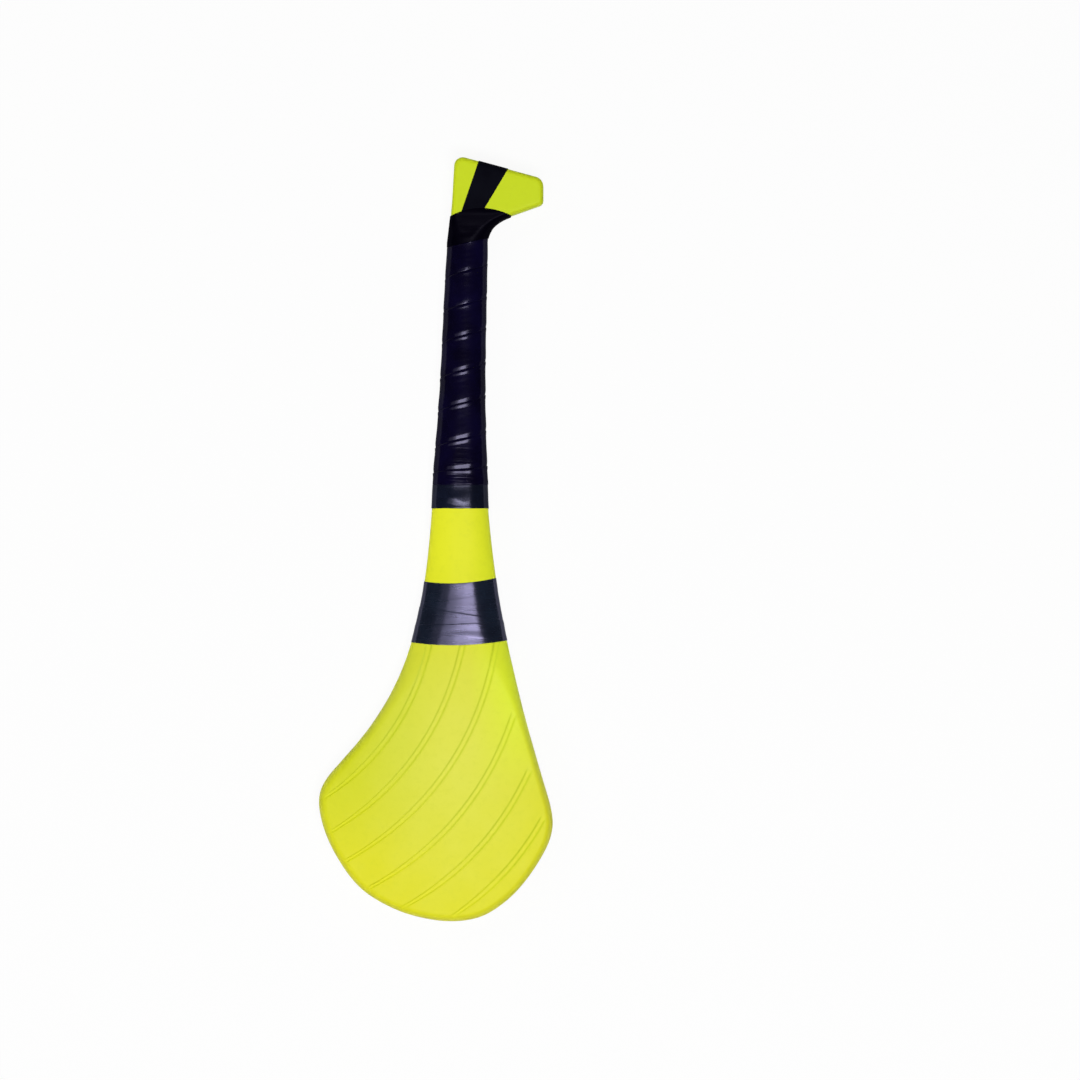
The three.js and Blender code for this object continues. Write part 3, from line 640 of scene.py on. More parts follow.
def fill_attribute(piece, name, values):
    """Gives the faces their values. The wall, which comes after them, keeps 0."""
    full = np.zeros(len(piece.data.vertices), np.float32)
    full[:len(values)] = values
    piece.data.attributes.new(name, "FLOAT", "POINT").data.foreach_set("value", full)


body_points, body_faces, groove_dip, groove_wall_shade = body_mesh()
body = new_piece("hurley_body", body_points, body_faces, "moulded_body", 60)
fill_attribute(body, "groove", groove_dip)
fill_attribute(body, "lip", groove_wall_shade)


# Strips that run round the stick

SIDES_TOP = 428
SLOPE_REACH = 0.5


def side_x(y, growth):
    """The outline's left and right at a height, for a skin grown by so much."""
    found = []
    for sign, chain in ((-1, LEFT), (1, RIGHT)):
        low = chain[chain[:, 1] < SIDES_TOP]
        order = np.argsort(low[:, 1])
        cy, cx = low[order, 1], low[order, 0]
        slope = np.interp(y + SLOPE_REACH, cy, cx) - np.interp(y - SLOPE_REACH, cy, cx)
        found.append(np.interp(y, cy, cx) + sign * growth * np.sqrt(1 + slope ** 2))
    return found


def skin(y, turn, growth):
    """Places on the stick's grown skin. A turn of 0 is its left side, and a quarter its front."""
    y, turn, growth = np.broadcast_arrays(y, turn, growth)
    left, right = side_x(y, growth)
    x = mix(left, right, (1 - np.cos(turn)) / 2)
    side = np.where(np.abs(np.sin(turn)) < TINY, 0, np.sign(np.sin(turn)))
    return np.stack([x, y, side * surface_height(x, y, growth)], axis=-1)


def stick_x(y, turn):
    left, right = side_x(y, 0 * y)
    return mix(left, right, (1 - np.cos(turn)) / 2)


def tube_mesh(under, over, flipped=False):
    """A closed strip from its under side and its upper side, each a row of places for each ring."""
    rings = np.concatenate([under, over[:, ::-1]], axis=1)
    count, sides = rings.shape[:2]
    base = np.arange(count - 1)[:, None] * sides
    side = np.arange(sides)[None, :]
    after = (side + 1) % sides
    quads = np.stack([base + side, base + after, base + sides + after, base + sides + side], -1)
    faces = quads.reshape(-1, 4).tolist()
    last = (count - 1) * sides
    for k in range(sides // 2 - 1):
        other = sides - 1 - k
        faces.append([k, other, other - 1, k + 1])
        faces.append([last + k, last + k + 1, last + other - 1, last + other])
    if flipped:
        faces = [[first, fourth, third, second] for first, second, third, fourth in faces]
    return rings.reshape(-1, 3), faces


def strip_mesh(turns, low, high, outer, inner, shares):
    """A closed strip: along its length lie the turns, and across it the shares."""
    y = low[:, None] + (high - low)[:, None] * shares[None, :]
    turn = turns[:, None]
    under = skin(y, turn, inner)
    over = skin(y, turn, outer(y, shares[None, :], turn))
    return tube_mesh(under, over)


# Places across a strip next to its edges, which are rounded
EDGE_PLACES = (0, 0.06, 0.16, 0.32)


def across(width, spacing):
    """Shares over a strip's width, close together at its two edges."""
    reach = EDGE_PLACES[-1]
    count = int(round((width - 2 * reach) / spacing)) + 1
    inner = np.linspace(reach, width - reach, count)
    far = [width - place for place in EDGE_PLACES[:-1][::-1]]
    return np.concatenate([EDGE_PLACES[:-1], inner, far]) / width


def edge_drop(from_edge, drop, reach=0.3):
    """How far a tape's surface falls as it comes to its rounded edge."""
    return drop * (1 - np.sqrt(1 - (1 - np.clip(from_edge / reach, 0, 1)) ** 2))


# Lengths round the stick for each radian of turn, at the handle, the grip's end and the band
HANDLE_LENGTH = 14
GRIP_END_LENGTH = 16
BAND_LENGTH = 24

LAP_TURN = 0.2
LAP_RISE = 0.1
TAPE_SHARP = 48


def edge_line(level, tilt, bow, turn, wobble=None, amount=0.12):
    """A tape's edge: its level, its rise from the middle to the right side, and its bow."""
    u = -np.cos(turn)
    line = level + tilt * u + bow * u * u
    return line if wobble is None else line + amount * wobble(turn * HANDLE_LENGTH, 0 * turn)


def round_tape(name, node, low, high, outer, inner, spacing, steps):
    """A tape once round, with its end lapped over its start at the middle of the back."""
    turns = np.linspace(-math.pi / 2 - LAP_TURN, 1.5 * math.pi + LAP_TURN, steps)
    low_y, high_y = low(turns), high(turns)
    lap_start = 1.5 * math.pi - 2 * LAP_TURN

    def lapped(y, share, turn):
        return outer(y, share, turn) + LAP_RISE * ramp(turn, lap_start, lap_start + 0.15)

    shares = across(float(np.mean(high_y - low_y)), spacing)
    points, faces = strip_mesh(turns, low_y, high_y, lapped, inner, shares)
    new_piece(name, points, faces, node, TAPE_SHARP)


# The band above the bas: three laps, and in the middle one a lap line that falls to the right.
# The lower laps lie over the upper ones, each of which starts a little way under its neighbour
BAND_LOW = (165.4, 0.6, 2.1)
BAND_LAP_1 = (178.3, 0.9, 0.4)
BAND_LAP_2 = (193.7, 3.2, 0.0)
BAND_HIGH = (202.5, 1.1, 2.0)
BAND_WIDTHS = (13, 15, 9)
BAND_TUCK = 0.6
BAND_UNDER = -0.2
BAND_SPACING = 0.3
BAND_STEPS = 300

# Slanting lines on the band: level, slope and the x where it has its level. Each is a small step
CREASE = (170.3, -0.11, 5)
CREASE_RISE = 0.12
CREASE_HALF = 0.175
LAP_LINE = (184.6, -0.156, -2)
LAP_LINE_RISE = 0.16
LAP_LINE_HALF = 0.2
band_wobble = Ripple(46, 40)
band_puckers = Ripple(34, 5)
band_dents = Ripple(16, 11)


def band_skin(y, turn):
    along = turn * BAND_LENGTH
    return 0.016 * band_puckers(along, y) + 0.014 * band_dents(along, y)


def slanting(x, level, slope, middle):
    return level + slope * (x - middle)


def band_lower(y, share, turn):
    """The lower lap, with a crease that falls to the right and a rise to its upper edge."""
    x = stick_x(y, turn)
    crease = slanting(x, *CREASE)
    ridge = ramp(y, crease - CREASE_HALF, crease + CREASE_HALF) * ramp(y, crease + 4.5, crease + 1)
    step = CREASE_RISE * ridge * ramp(x, -7, 2)
    width = BAND_WIDTHS[0]
    edges = edge_drop(share * width, 0.22) + edge_drop((1 - share) * width, 0.34, 0.5)
    top_edge = 0.11 * ramp(share, 0.55, 0.95)
    return 0.23 - 0.05 * ramp(y, 172, 167) + band_skin(y, turn) + step + top_edge - edges


def band_middle(y, share, turn):
    """The middle lap, with a lap line and a faint one above it."""
    x = stick_x(y, turn)
    lap = slanting(x, *LAP_LINE)
    step = LAP_LINE_RISE * ramp(y, lap + LAP_LINE_HALF, lap - LAP_LINE_HALF)
    faint = 0.04 * ramp(y, 186.45, 185.95) * ramp(x, 0, 6)
    edge = edge_drop((1 - share) * BAND_WIDTHS[1], 0.26, 0.45)
    return 0.03 + band_skin(y, turn) + step + faint - edge


def band_upper(y, share, turn):
    rise = 0.12 * ramp(y, 195, 202)
    return band_skin(y, turn) + rise - edge_drop((1 - share) * BAND_WIDTHS[2], 0.3)


round_tape("band_lap_lower", "band_tape_lower",
           lambda t: edge_line(*BAND_LOW, t, band_wobble),
           lambda t: edge_line(*BAND_LAP_1, t),
           band_lower, BAND_UNDER, BAND_SPACING, BAND_STEPS)
round_tape("band_lap_middle", "band_tape_middle",
           lambda t: edge_line(*BAND_LAP_1, t) - BAND_TUCK,
           lambda t: edge_line(*BAND_LAP_2, t),
           band_middle, BAND_UNDER, BAND_SPACING, BAND_STEPS)
round_tape("band_lap_upper", "band_tape_upper",
           lambda t: edge_line(*BAND_LAP_2, t) - BAND_TUCK,
           lambda t: edge_line(*BAND_HIGH, t, band_wobble),
           band_upper, BAND_UNDER, BAND_SPACING, BAND_STEPS)

# The strip that holds the lower end of the wrap
END_LEVELS = (247.1, 261.2)
END_WIDTH = 14.2
END_UNDER = -0.6
FOLD_RISE = 0.5
end_folds = Ripple(12, 15)
end_puckers = Ripple(20, 4)


def end_outer(y, share, turn):
    """The strip has a fold at the middle of its front, which sinks towards its upper edge."""
    x = stick_x(y, turn)
    near = mix(1, 0.35, ramp(x, -5, 4)) * ramp(x, -12, -6) * ramp(x, 9, 5)
    foot = 247.3 + 0.25 * np.abs(x - 1)
    fold = FOLD_RISE * ramp(y, foot, foot + 4.5) * near * (1 - 0.7 * ramp(y, 253, 258))
    along = turn * GRIP_END_LENGTH
    base = 0.36 + 0.015 * end_folds(along, y) + 0.01 * end_puckers(along, y)
    curl = 0.03 * ramp(y, 260.1, 260.8)
    edges = edge_drop(share * END_WIDTH, 0.4) + edge_drop((1 - share) * END_WIDTH, 0.35, 0.22)
    fall = 0.12 * ramp(y, 254, 261)
    return base + fold + curl - fall - edges


round_tape("grip_end_strip", "grip_end_tape",
           lambda t: edge_line(END_LEVELS[0], 0, 0, t, end_folds, 0.1),
           lambda t: edge_line(END_LEVELS[1], 0, 0, t),
           end_outer, END_UNDER, 0.4, 260)

# The neck tape over the wrap's top end
NECK_LOW = (406, 2.7, 0)
NECK_HIGH = (426.4, 0.2, -4.4)
NECK_TAPE_WIDTH = 20
NECK_UNDER = 0.1
neck_folds = Ripple(22, 9)
neck_puckers = Ripple(30, 3.2)


def neck_outer(y, share, turn):
    low = edge_line(*NECK_LOW, turn)
    lip = 0.12 * np.exp(-((y - low - 3.2) / 2.2) ** 2)
    along = turn * HANDLE_LENGTH
    base = 0.48 + 0.03 * neck_folds(along, y) + 0.015 * neck_puckers(along, y)
    width = NECK_TAPE_WIDTH
    return base + lip - edge_drop(share * width, 0.32) - edge_drop((1 - share) * width, 0.32)


round_tape("neck_binding", "neck_tape",
           lambda t: edge_line(*NECK_LOW, t),
           lambda t: edge_line(*NECK_HIGH, t, neck_folds, 0.1),
           neck_outer, NECK_UNDER, 0.45, 260)

# The wrap: one strip from the end tape up to the neck tape. Each stop of its seam is a number
# of turns and a height, and whole turns are at the front's middle
SEAM_STOPS = [(-2.5, 246), (-1.5, 261.4), (-1.25, 268.3), (-1, 270.4), (-0.75, 272.6),
              (-0.25, 283.3), (0, 288.4), (1, 309.9), (2, 329.7), (3, 350.6), (4, 369.2),
              (5, 389.0), (6, 408), (7, 427)]
SEAM = smooth_curve(SEAM_STOPS)
WRAP_WIDTH = 19.5
WRAP_FOOT = 260.8
WRAP_UNDER = -0.6
WRAP_TUCK = 0.5
WRAP_TOP_TUCK = 0.6
WRAP_TURNS = (-2.47, 6.02)
WRAP_RINGS_PER_TURN = 130
WRAP_SPACING = 0.5
WRAP_SHARP = 52
LOWER_LIP = 0.25
UPPER_LIP = 0.17
PRESS_DEPTH = 0.12
PRESS_TILT = 0.045
wrap_puckers = Ripple(17, 4.2)
wrap_streaks = Ripple(9, 1.6)
wrap_power = Ripple(26, 400)
level_wrinkles = Ripple(30, 2.4)


def seam_height(turns):
    return np.interp(turns, SEAM[:, 0], SEAM[:, 1])


def wrap_low(turns):
    return np.maximum(seam_height(turns), WRAP_FOOT)


def wrap_high(turns):
    top = edge_line(*NECK_LOW, (turns + 0.25) * FULL_TURN) + WRAP_TOP_TUCK
    return np.minimum(seam_height(turns + 1) + WRAP_TUCK, top)


def pressed(y, turn):
    """The wrap is pressed in a little along the handle's middle, and falls to the right there."""
    left, right = side_x(y, 0 * y)
    aside = (left - right) / 2 * np.cos(turn)
    flat = PRESS_DEPTH * np.exp(-(aside / 4.5) ** 2)
    return flat + PRESS_TILT * aside * np.exp(-(aside / 7) ** 2)


def wrap_outer(y, share, turn):
    """Each turn has a raised lip along its lower edge, and one where the next turn lies on it."""
    turns = turn / FULL_TURN - 0.25
    up = y - seam_height(turns)
    down = seam_height(turns + 1) - y
    along = turn * HANDLE_LENGTH
    strength = (1.2 + 0.3 * wrap_power(along, 0 * along)) * mix(1.1, 0.6, ramp(y, 320, 400))
    lower_lip = LOWER_LIP * ramp(up, 0, 2.8) * (1 - 0.7 * ramp(up, 2.8, 13.8))
    upper_lip = UPPER_LIP * ramp(down, 2.9, 0.8)
    uneven = 0.013 * wrap_puckers(along, y) + 0.004 * wrap_streaks(along, y)
    low_turns = 0.032 * level_wrinkles(along, y) * ramp(y, 292, 280)
    base = 0.12 + strength * (lower_lip + upper_lip) + uneven + low_turns - pressed(y, turn)
    base = base - edge_drop(up, 0.4, 0.4) - 0.75 * ramp(down, 0.45, -0.15)
    under_neck = y - edge_line(*NECK_LOW, turn)
    return base - 0.4 * ramp(y, 261.4, 261.0) - 0.5 * ramp(under_neck, -0.15, 0.25)


def wrap_mesh():
    first, last = WRAP_TURNS
    turns = np.linspace(first, last, int((last - first) * WRAP_RINGS_PER_TURN))
    return strip_mesh((turns + 0.25) * FULL_TURN, wrap_low(turns), wrap_high(turns), wrap_outer,
                      WRAP_UNDER, across(WRAP_WIDTH, WRAP_SPACING))


wrap_points, wrap_faces = wrap_mesh()
new_piece("spiral_wrap", wrap_points, wrap_faces, "grip_wrap", WRAP_SHARP)


# The strap over the pommel

# Its feet lie at a height under the neck tape and run on below it. Its top places are shares of
# the pommel's sloping end
STRAP_WIDTH = 15.0
STRAP_FOOT_Y = 426.4
STRAP_FOOT_X = (0.4, 13.6)
STRAP_TOP_SHARES = (0.272, 0.603)
STRAP_TUCK = 9
STRAP_OVER = 0.24
STRAP_UNDER = -0.05
STRAP_EDGE = 0.16
STRAP_SPACING = 0.7
STRAP_FACE_ROWS = 34
STRAP_BEND_ROWS = 12
STRAP_END_ROWS = 13


def strap_surface(start, finish, total, growth):
    """Rows of places from the front foot, over the pommel's end, to the back foot."""
    def at_depth(depth):
        return start + (finish - start) * (1 - depth / total)[:, None]

    front = []
    for share in np.linspace(0, 1, STRAP_FACE_ROWS):
        place = at_depth(mix(total, POMMEL_RIM, share))
        front.append(np.column_stack([place, surface_height(place[:, 0], place[:, 1], growth)]))
    for step in range(1, STRAP_BEND_ROWS + 1):
        angle = math.pi / 2 * (1 - step / STRAP_BEND_ROWS)
        place = at_depth((POMMEL_RIM + growth) * (1 - math.cos(angle)) - growth)
        z = POMMEL_HALF - POMMEL_RISE + (POMMEL_RISE + growth) * math.sin(angle)
        front.append(np.column_stack([place, z]))
    end = [front[-1] * (1, 1, share) for share in np.linspace(1, -1, STRAP_END_ROWS)[1:-1]]
    back = [row * (1, 1, -1) for row in front[::-1]]
    return np.array(front + end + back)


def strap_mesh():
    back, end = np.array(BACK_CORNER), np.array(END_TOP)
    along = (end - back) / np.linalg.norm(end - back)
    outward = np.array((-along[1], along[0]))
    corners = []
    for foot_x, top_share in zip(STRAP_FOOT_X, STRAP_TOP_SHARES):
        foot, top = np.array((foot_x, STRAP_FOOT_Y)), mix(back, end, top_share)
        corners.append((foot + (foot - top) / np.linalg.norm(foot - top) * STRAP_TUCK, top))
    (foot_left, top_left), (foot_right, top_right) = corners
    q = across(STRAP_WIDTH, STRAP_SPACING)
    start = mix(foot_left, foot_right, q[:, None])
    finish = mix(top_left, top_right, q[:, None])
    total = (end - start) @ outward
    edges = edge_drop(q * STRAP_WIDTH, STRAP_EDGE) + edge_drop((1 - q) * STRAP_WIDTH, STRAP_EDGE)
    over = strap_surface(start, finish, total, STRAP_OVER - edges)
    under = strap_surface(start, finish, total, np.full(len(q), STRAP_UNDER))
    return tube_mesh(under, over, flipped=True)


strap_points, strap_faces = strap_mesh()
new_piece("pommel_strap_tape", strap_points, strap_faces, "pommel_strap",
          TAPE_SHARP)


# Materials

class Nodes:
    """A small help to write a material's nodes."""

    def __init__(self, name):
        self.material = bpy.data.materials.new(name)
        self.material.use_nodes = True
        self.tree = self.material.node_tree
        self.shader = self.tree.nodes["Principled BSDF"]

    def add(self, kind, inputs=None, **settings):
        node = self.tree.nodes.new(kind)
        for key, value in settings.items():
            setattr(node, key, value)
        for key, value in (inputs or {}).items():
            if isinstance(value, bpy.types.NodeSocket):
                self.tree.links.new(value, node.inputs[key])
            else:
                node.inputs[key].default_value = value
        return node

    def link(self, socket, name):
        self.tree.links.new(socket, self.shader.inputs[name])

    def place(self, scale=None, slant=0):
        """The place in metres, stretched by a scale for each axis after a turn about z."""
        coord = self.add("ShaderNodeTexCoord").outputs["Object"]
        if scale is None:
            return coord
        turned = self.add("ShaderNodeMapping", {"Vector": coord, "Rotation": (0, 0, slant)})
        inputs = {"Vector": turned.outputs["Vector"], "Scale": scale}
        return self.add("ShaderNodeMapping", inputs).outputs["Vector"]

    def noise(self, scale, detail=3, roughness=0.5, stretch=None, slant=0):
        made = self.add("ShaderNodeTexNoise", {
            "Vector": self.place(stretch, slant), "Scale": scale, "Detail": detail,
            "Roughness": roughness})
        return made.outputs["Fac"]

    def ranged(self, value, low, high, to_low=0, to_high=1):
        made = self.add("ShaderNodeMapRange", {
            "Value": value, "From Min": low, "From Max": high, "To Min": to_low, "To Max": to_high})
        return made.outputs["Result"]

    def math(self, operation, a, b=0, c=0):
        return self.add("ShaderNodeMath", {0: a, 1: b, 2: c}, operation=operation).outputs[0]

    def blend(self, factor, a, b):
        made = self.add("ShaderNodeMix", {"Factor": factor, "A": a, "B": b}, data_type="RGBA")
        return made.outputs["Result"]

    def vector(self, operation, a, b=(0, 0, 0)):
        return self.add("ShaderNodeVectorMath", {0: a, 1: b}, operation=operation).outputs

    def attribute(self, name):
        return self.add("ShaderNodeAttribute", attribute_name=name).outputs["Fac"]

    def bump(self, height, distance, strength, normal=None):
        inputs = {"Height": height, "Distance": distance, "Strength": strength}
        if normal is not None:
            inputs["Normal"] = normal
        return self.add("ShaderNodeBump", inputs).outputs["Normal"]


# Colours of the moulding, by the place that shows them
LEMON_TIP = srgb(232, 230, 34)
LEMON_BAS = srgb(225, 228, 38)
LEMON_HOLLOW_SHADE = srgb(212, 222, 36)
LEMON_PAINTED_SHEEN = srgb(234, 236, 84)
LEMON_SHAFT = srgb(240, 243, 42)
LEMON_RIGHT = srgb(235, 254, 48)
LEMON_POMMEL_SHADE = srgb(214, 233, 32)
LEMON_SPECK = srgb(196, 208, 30)
LEMON_GROOVE_SHADE = srgb(186, 206, 30)
SCUFF_AND_SHADE_BROWN = srgb(168, 152, 54)
PLASTIC_LEVEL = 0.15

# A painted sheen on the bas, a paler patch where a soft highlight would fall: its middle in metres,
# # and how fast it fades across and along
PAINTED_SHEEN_PLACE = (0.0145, -0.125, 0)
PAINTED_SHEEN_FADE = (20, 12, 0)


def plastic_colour(n):
    """Darker and greener to the pommel and at the hollow side, as painted shade, with a faint
    mottle.
    Places are in metres.
    """
    place = n.add("ShaderNodeSeparateXYZ", {"Vector": n.place()}).outputs
    x, y = place["X"], place["Y"]
    cloud = n.math("MULTIPLY_ADD", n.noise(14, 2), 0.05, -0.025)
    low_side = n.math("ADD", n.ranged(y, -0.2, -0.09), cloud)
    colour = n.blend(low_side, LEMON_TIP, LEMON_BAS)
    # Painted shade: darker and greener on the bas's hollow side, which faces away from the light
    hollow = n.math("MULTIPLY", n.ranged(x, 0.01, -0.016), n.ranged(y, -0.19, -0.12))
    colour = n.blend(n.math("MULTIPLY", hollow, 0.8), colour, LEMON_HOLLOW_SHADE)
    # Painted highlight: the bas is paler where a soft sheen would fall
    painted_sheen = n.vector("SUBTRACT", n.place(), PAINTED_SHEEN_PLACE)[0]
    painted_sheen = n.vector("LENGTH", n.vector("MULTIPLY", painted_sheen, PAINTED_SHEEN_FADE)[0])["Value"]
    colour = n.blend(n.ranged(painted_sheen, 1.3, 0.2, 0, 0.8), colour, LEMON_PAINTED_SHEEN)
    colour = n.blend(n.ranged(y, -0.07, -0.01), colour, LEMON_SHAFT)
    right = n.math("MULTIPLY", n.ranged(x, 0.02, 0.046), n.ranged(y, -0.15, -0.08))
    colour = n.blend(n.math("MULTIPLY", right, 0.9), colour, LEMON_RIGHT)
    # Painted shade: darker and greener towards the pommel, where the light falls off
    colour = n.blend(n.ranged(y, 0.05, 0.18), colour, LEMON_POMMEL_SHADE)
    colour = n.blend(n.ranged(n.noise(230, 5, 0.7), 0.5, 0.75, 0, 0.16), colour, LEMON_SPECK)
    # Painted shade along the grooves' walls
    colour = n.blend(n.math("MULTIPLY", n.attribute("lip"), 0.5), colour, LEMON_GROOVE_SHADE)
    # Brown on the pommel's flanks, partly scuffs and partly painted shade along its rounded edges
    dull = n.attribute("dull")
    scuff_and_shade = n.math("MULTIPLY", n.ranged(y, 0.16, 0.19),
                     n.math("MULTIPLY", dull, n.ranged(dull, 1, 0.6, 0.2, 1)))
    scuff_and_shade = n.math("MULTIPLY", scuff_and_shade, n.ranged(n.noise(700, 4, 0.6), 0.4, 0.65, 0.1, 0.6))
    return n.blend(scuff_and_shade, colour, SCUFF_AND_SHADE_BROWN)


def plastic(name):
    """Satin lemon plastic, a little uneven."""
    n = Nodes(name)
    n.link(plastic_colour(n), "Base Color")
    n.link(n.ranged(n.noise(80, 4, 0.6), 0.3, 0.7, 0.46, 0.56), "Roughness")
    n.shader.inputs["Specular IOR Level"].default_value = PLASTIC_LEVEL
    soft = n.bump(n.noise(150, 3), 0.0001, 0.4)
    n.link(n.bump(n.noise(1500, 3, 0.6), 0.000015, 0.5, soft), "Normal")
    return n.material


def vinyl(name, low, high, rough, level, tint, stretch, wrinkle, slant=0, drawn=0, ior=1.5):
    """Stretched vinyl: uneven colour, and a gloss that fine wrinkles along it break up.
    Drawn tape has its gloss spread up and down the stick by wrinkles too fine to see."""
    n = Nodes(name)
    n.shader.inputs["IOR"].default_value = ior
    if drawn:
        n.shader.inputs["Anisotropic"].default_value = drawn
        n.link(n.add("ShaderNodeCombineXYZ", {"Y": 1}).outputs[0], "Tangent")
    cloud = n.ranged(n.noise(60, 4, 0.6), 0.35, 0.68)
    n.link(n.blend(cloud, low, high), "Base Color")
    streak = n.noise(1, 4, 0.6, stretch, slant)
    gloss = n.ranged(streak, 0.3, 0.7, rough[0], rough[1])
    n.link(n.math("MAXIMUM", gloss, n.ranged(n.attribute("dull"), 0, 1, 0, 0.8)), "Roughness")
    n.shader.inputs["Specular IOR Level"].default_value = level
    n.shader.inputs["Specular Tint"].default_value = tint
    n.link(n.bump(n.noise(2200, 2), 0.00001, 0.5, n.bump(streak, wrinkle, 0.6)), "Normal")
    return n.material


# How noise is stretched over each kind of tape, by axis
BLACK_STRETCH = (60, 420, 60)
WRAP_STRETCH = (60, 560, 60)
SLATE_STRETCH = (50, 500, 50)
WRAP_SLANT = -0.2
TAPE_WRINKLE = 0.00003
WRAP_WRINKLE = 0.000012

lemon = plastic("lemon_moulding")
plug_lemon = plastic("lemon_plug")
black = vinyl("black_vinyl", srgb(9, 9, 17), srgb(14, 15, 23), (0.3, 0.38), 0.02,
              (0.75, 0.72, 1, 1), BLACK_STRETCH, TAPE_WRINKLE)
neck_black = vinyl("neck_vinyl", srgb(2, 1, 9), srgb(7, 5, 15), (0.3, 0.38), 0.02,
                   (0.75, 0.72, 1, 1), BLACK_STRETCH, TAPE_WRINKLE)
wrap_skin = vinyl("wrap_vinyl", srgb(5, 2, 23), srgb(9, 5, 38), (0.15, 0.22), 0.22,
                  (0.72, 0.68, 1, 1), WRAP_STRETCH, WRAP_WRINKLE, WRAP_SLANT)
end_slate = vinyl("end_slate_vinyl", srgb(10, 14, 27), srgb(18, 24, 42), (0.18, 0.25), 0.41,
                  (0.7, 0.68, 1, 1), SLATE_STRETCH, TAPE_WRINKLE, drawn=0.4)
slate = vinyl("slate_vinyl", srgb(10, 18, 30), srgb(18, 30, 44), (0.25, 0.32), 1.0,
              (0.66, 0.61, 1, 1), SLATE_STRETCH, TAPE_WRINKLE, drawn=0.85, ior=1.62)

FINISHES = {
    "hurley_body": lemon, "blow_hole_plug": plug_lemon, "pommel_strap_tape": black,
    "neck_binding": neck_black, "spiral_wrap": wrap_skin, "grip_end_strip": end_slate,
    "band_lap_upper": slate, "band_lap_middle": slate, "band_lap_lower": slate,
}
for name, finish in FINISHES.items():
    mesh = bpy.data.objects[name].data
    mesh.materials.clear()
    mesh.materials.append(finish)


# Floor and world

FLOOR_HALF = 6.0
FLOOR_Z = -0.0002
FLOOR_GREY = (0.9, 0.9, 0.9, 1)
FLOOR_WHITE_SHARE = 0.93
WHITE = (1, 1, 1, 1)
floor_mesh = bpy.data.meshes.new("floor")
floor_corners = [(x * FLOOR_HALF, y * FLOOR_HALF, FLOOR_Z)
                 for x, y in ((-1, -1), (1, -1), (1, 1), (-1, 1))]
floor_mesh.from_pydata(floor_corners, [], [(0, 1, 2, 3)])
floor = bpy.data.objects.new("floor", floor_mesh)
bpy.context.scene.collection.objects.link(floor)


def tree_math(tree, operation, a, b, clamp=False):
    """A math node in a tree, with a socket or a number for each of its two inputs."""
    step = tree.nodes.new("ShaderNodeMath")
    step.operation = operation
    step.use_clamp = clamp
    for value, socket in zip((a, b), step.inputs):
        if isinstance(value, bpy.types.NodeSocket):
            tree.links.new(value, socket)
        else:
            socket.default_value = value
    return step.outputs[0]


def floor_material():
    """A matt floor that shows white to the camera, to gloss and to glass, and keeps its shadow."""
    material = bpy.data.materials.new("pale_floor")
    material.use_nodes = True
    tree = material.node_tree
    tree.nodes.clear()
    matt = tree.nodes.new("ShaderNodeBsdfDiffuse")
    matt.inputs["Color"].default_value = FLOOR_GREY
    white = tree.nodes.new("ShaderNodeEmission")
    white.inputs["Color"].default_value = WHITE
    path = tree.nodes.new("ShaderNodeLightPath").outputs
    shown = tree_math(tree, "MAXIMUM", path["Is Camera Ray"], path["Is Glossy Ray"])
    shown = tree_math(tree, "MAXIMUM", shown, path["Is Transmission Ray"])
    both = tree.nodes.new("ShaderNodeMixShader")
    out = tree.nodes.new("ShaderNodeOutputMaterial")
    share = tree_math(tree, "MULTIPLY", shown, FLOOR_WHITE_SHARE)
    tree.links.new(share, both.inputs["Fac"])
    tree.links.new(matt.outputs[0], both.inputs[1])
    tree.links.new(white.outputs[0], both.inputs[2])
    tree.links.new(both.outputs[0], out.inputs["Surface"])
    return material


floor.data.materials.append(floor_material())

# The world's strength where it isn't shown as white, and how high over the horizon gloss and
# glass see it as white, from full to none
CEILING = 0.05
BACKDROP_RISE = (0.02, 0.1)


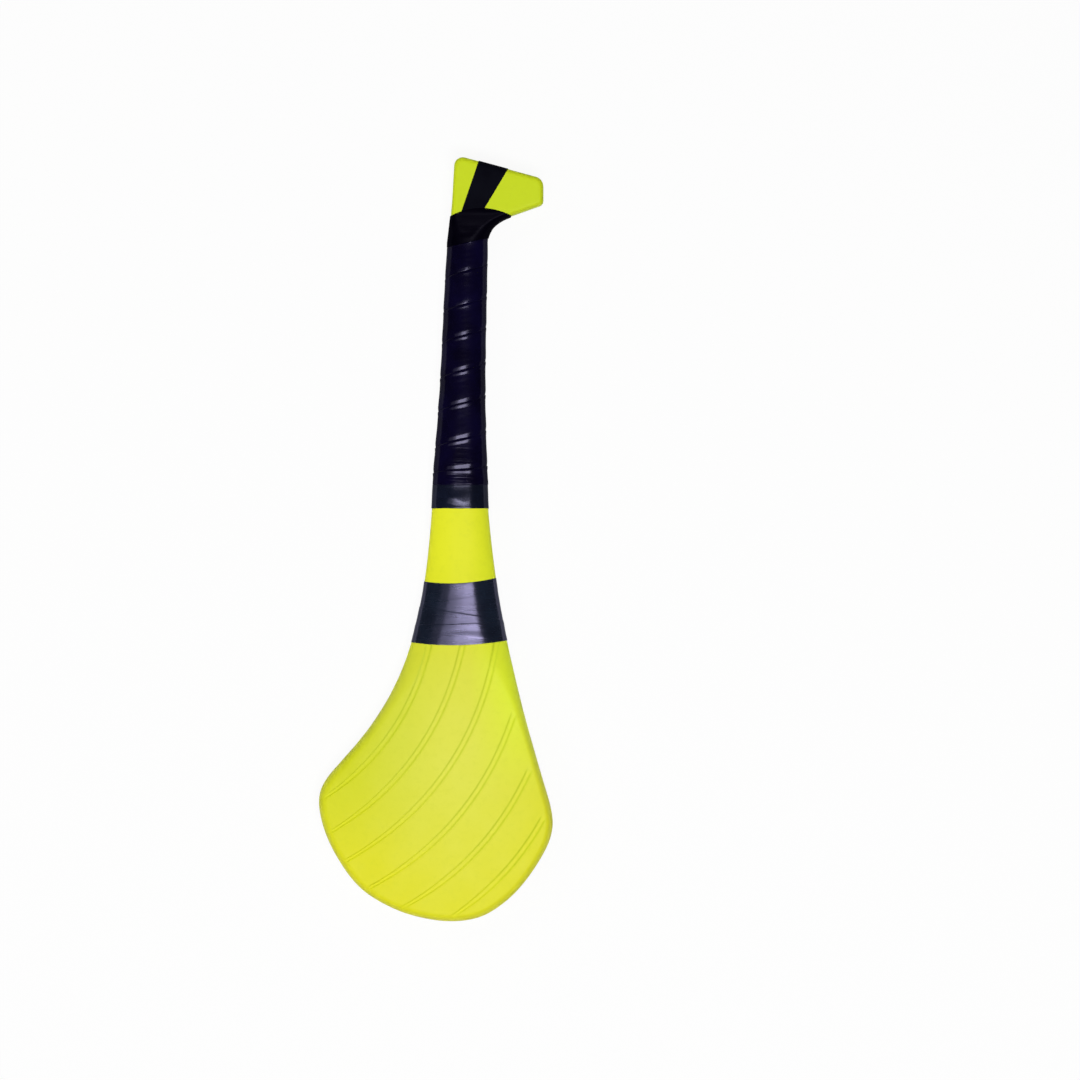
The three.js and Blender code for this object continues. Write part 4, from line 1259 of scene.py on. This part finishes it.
def studio_world():
    """The camera sees white all round, and gloss and glass see it as a backdrop at the horizon."""
    world = bpy.data.worlds.new("studio")
    world.use_nodes = True
    tree = world.node_tree
    tree.nodes.clear()
    path = tree.nodes.new("ShaderNodeLightPath").outputs
    parts = tree.nodes.new("ShaderNodeSeparateXYZ")
    generated = tree.nodes.new("ShaderNodeTexCoord").outputs["Generated"]
    tree.links.new(generated, parts.inputs["Vector"])
    backdrop = tree.nodes.new("ShaderNodeMapRange")
    backdrop.interpolation_type = "SMOOTHSTEP"
    for key, value in zip(("From Min", "From Max", "To Min", "To Max"), (*BACKDROP_RISE, 1.0, 0.0)):
        backdrop.inputs[key].default_value = value
    tree.links.new(parts.outputs["Z"], backdrop.inputs["Value"])
    bounced = tree_math(tree, "MAXIMUM", path["Is Glossy Ray"], path["Is Transmission Ray"], True)
    seen = tree_math(tree, "MULTIPLY", bounced, backdrop.outputs["Result"], True)
    white = tree_math(tree, "MAXIMUM", path["Is Camera Ray"], seen, True)
    level = tree.nodes.new("ShaderNodeMapRange")
    level.inputs["To Min"].default_value = CEILING
    level.inputs["To Max"].default_value = 1.0
    sky = tree.nodes.new("ShaderNodeBackground")
    sky.inputs["Color"].default_value = WHITE
    out = tree.nodes.new("ShaderNodeOutputWorld")
    tree.links.new(white, level.inputs["Value"])
    tree.links.new(level.outputs["Result"], sky.inputs["Strength"])
    tree.links.new(sky.outputs[0], out.inputs["Surface"])
    return world


scene = bpy.context.scene
scene.world = studio_world()


# Lamps and camera

# Each lamp is a flat one that faces down: name, the angles of its edges from straight up as seen
# from the stick, across and along, in degrees, radiance, and whether gloss shows it
LAMP_HEIGHT = 2.0
LAMPS = [
    ("key", (-1, 18.5), (-23, -6), 18.0, True),
    ("near_wing", (-13, -1), (-23, -6), 4.2, True),
    ("left_wing", (-33, -13), (-23, -6), 1.2, True),
    ("left_fill", (-60, -36), (-50, -10), 1.6, False),
    ("left_far_fill", (-60, -36), (12, 48), 1.95, False),
    ("far_fill", (-25, 15), (35, 58), 1.5, False),
]


def softbox(name, x_angles, y_angles, radiance, mirrored):
    left, right = (LAMP_HEIGHT * math.tan(math.radians(a)) for a in x_angles)
    near, far = (LAMP_HEIGHT * math.tan(math.radians(a)) for a in y_angles)
    lamp = bpy.data.lights.new(name, "AREA")
    lamp.shape = "RECTANGLE"
    lamp.size = right - left
    lamp.size_y = far - near
    lamp.energy = radiance * math.pi * lamp.size * lamp.size_y
    lamp_object = bpy.data.objects.new(name, lamp)
    lamp_object.location = ((left + right) / 2, (near + far) / 2, LAMP_HEIGHT)
    lamp_object.visible_camera = False
    lamp_object.visible_glossy = mirrored
    scene.collection.objects.link(lamp_object)


for lamp_values in LAMPS:
    softbox(*lamp_values)

# The camera looks straight down. The photograph's frame is 646.5 mm across at the middle plane
LENS = 240.0
SENSOR = 36.0
FRAME_WIDTH = 0.6465
CAMERA_X = 0.0623
CAMERA_Y = -0.0003
camera_data = bpy.data.cameras.new("camera")
camera_data.lens = LENS
camera_data.sensor_width = SENSOR
camera = bpy.data.objects.new("camera", camera_data)
camera.location = (CAMERA_X, CAMERA_Y, MIDDLE_Z * MM + FRAME_WIDTH * LENS / SENSOR)
scene.collection.objects.link(camera)
scene.camera = camera
scene.view_settings.view_transform = "Standard"
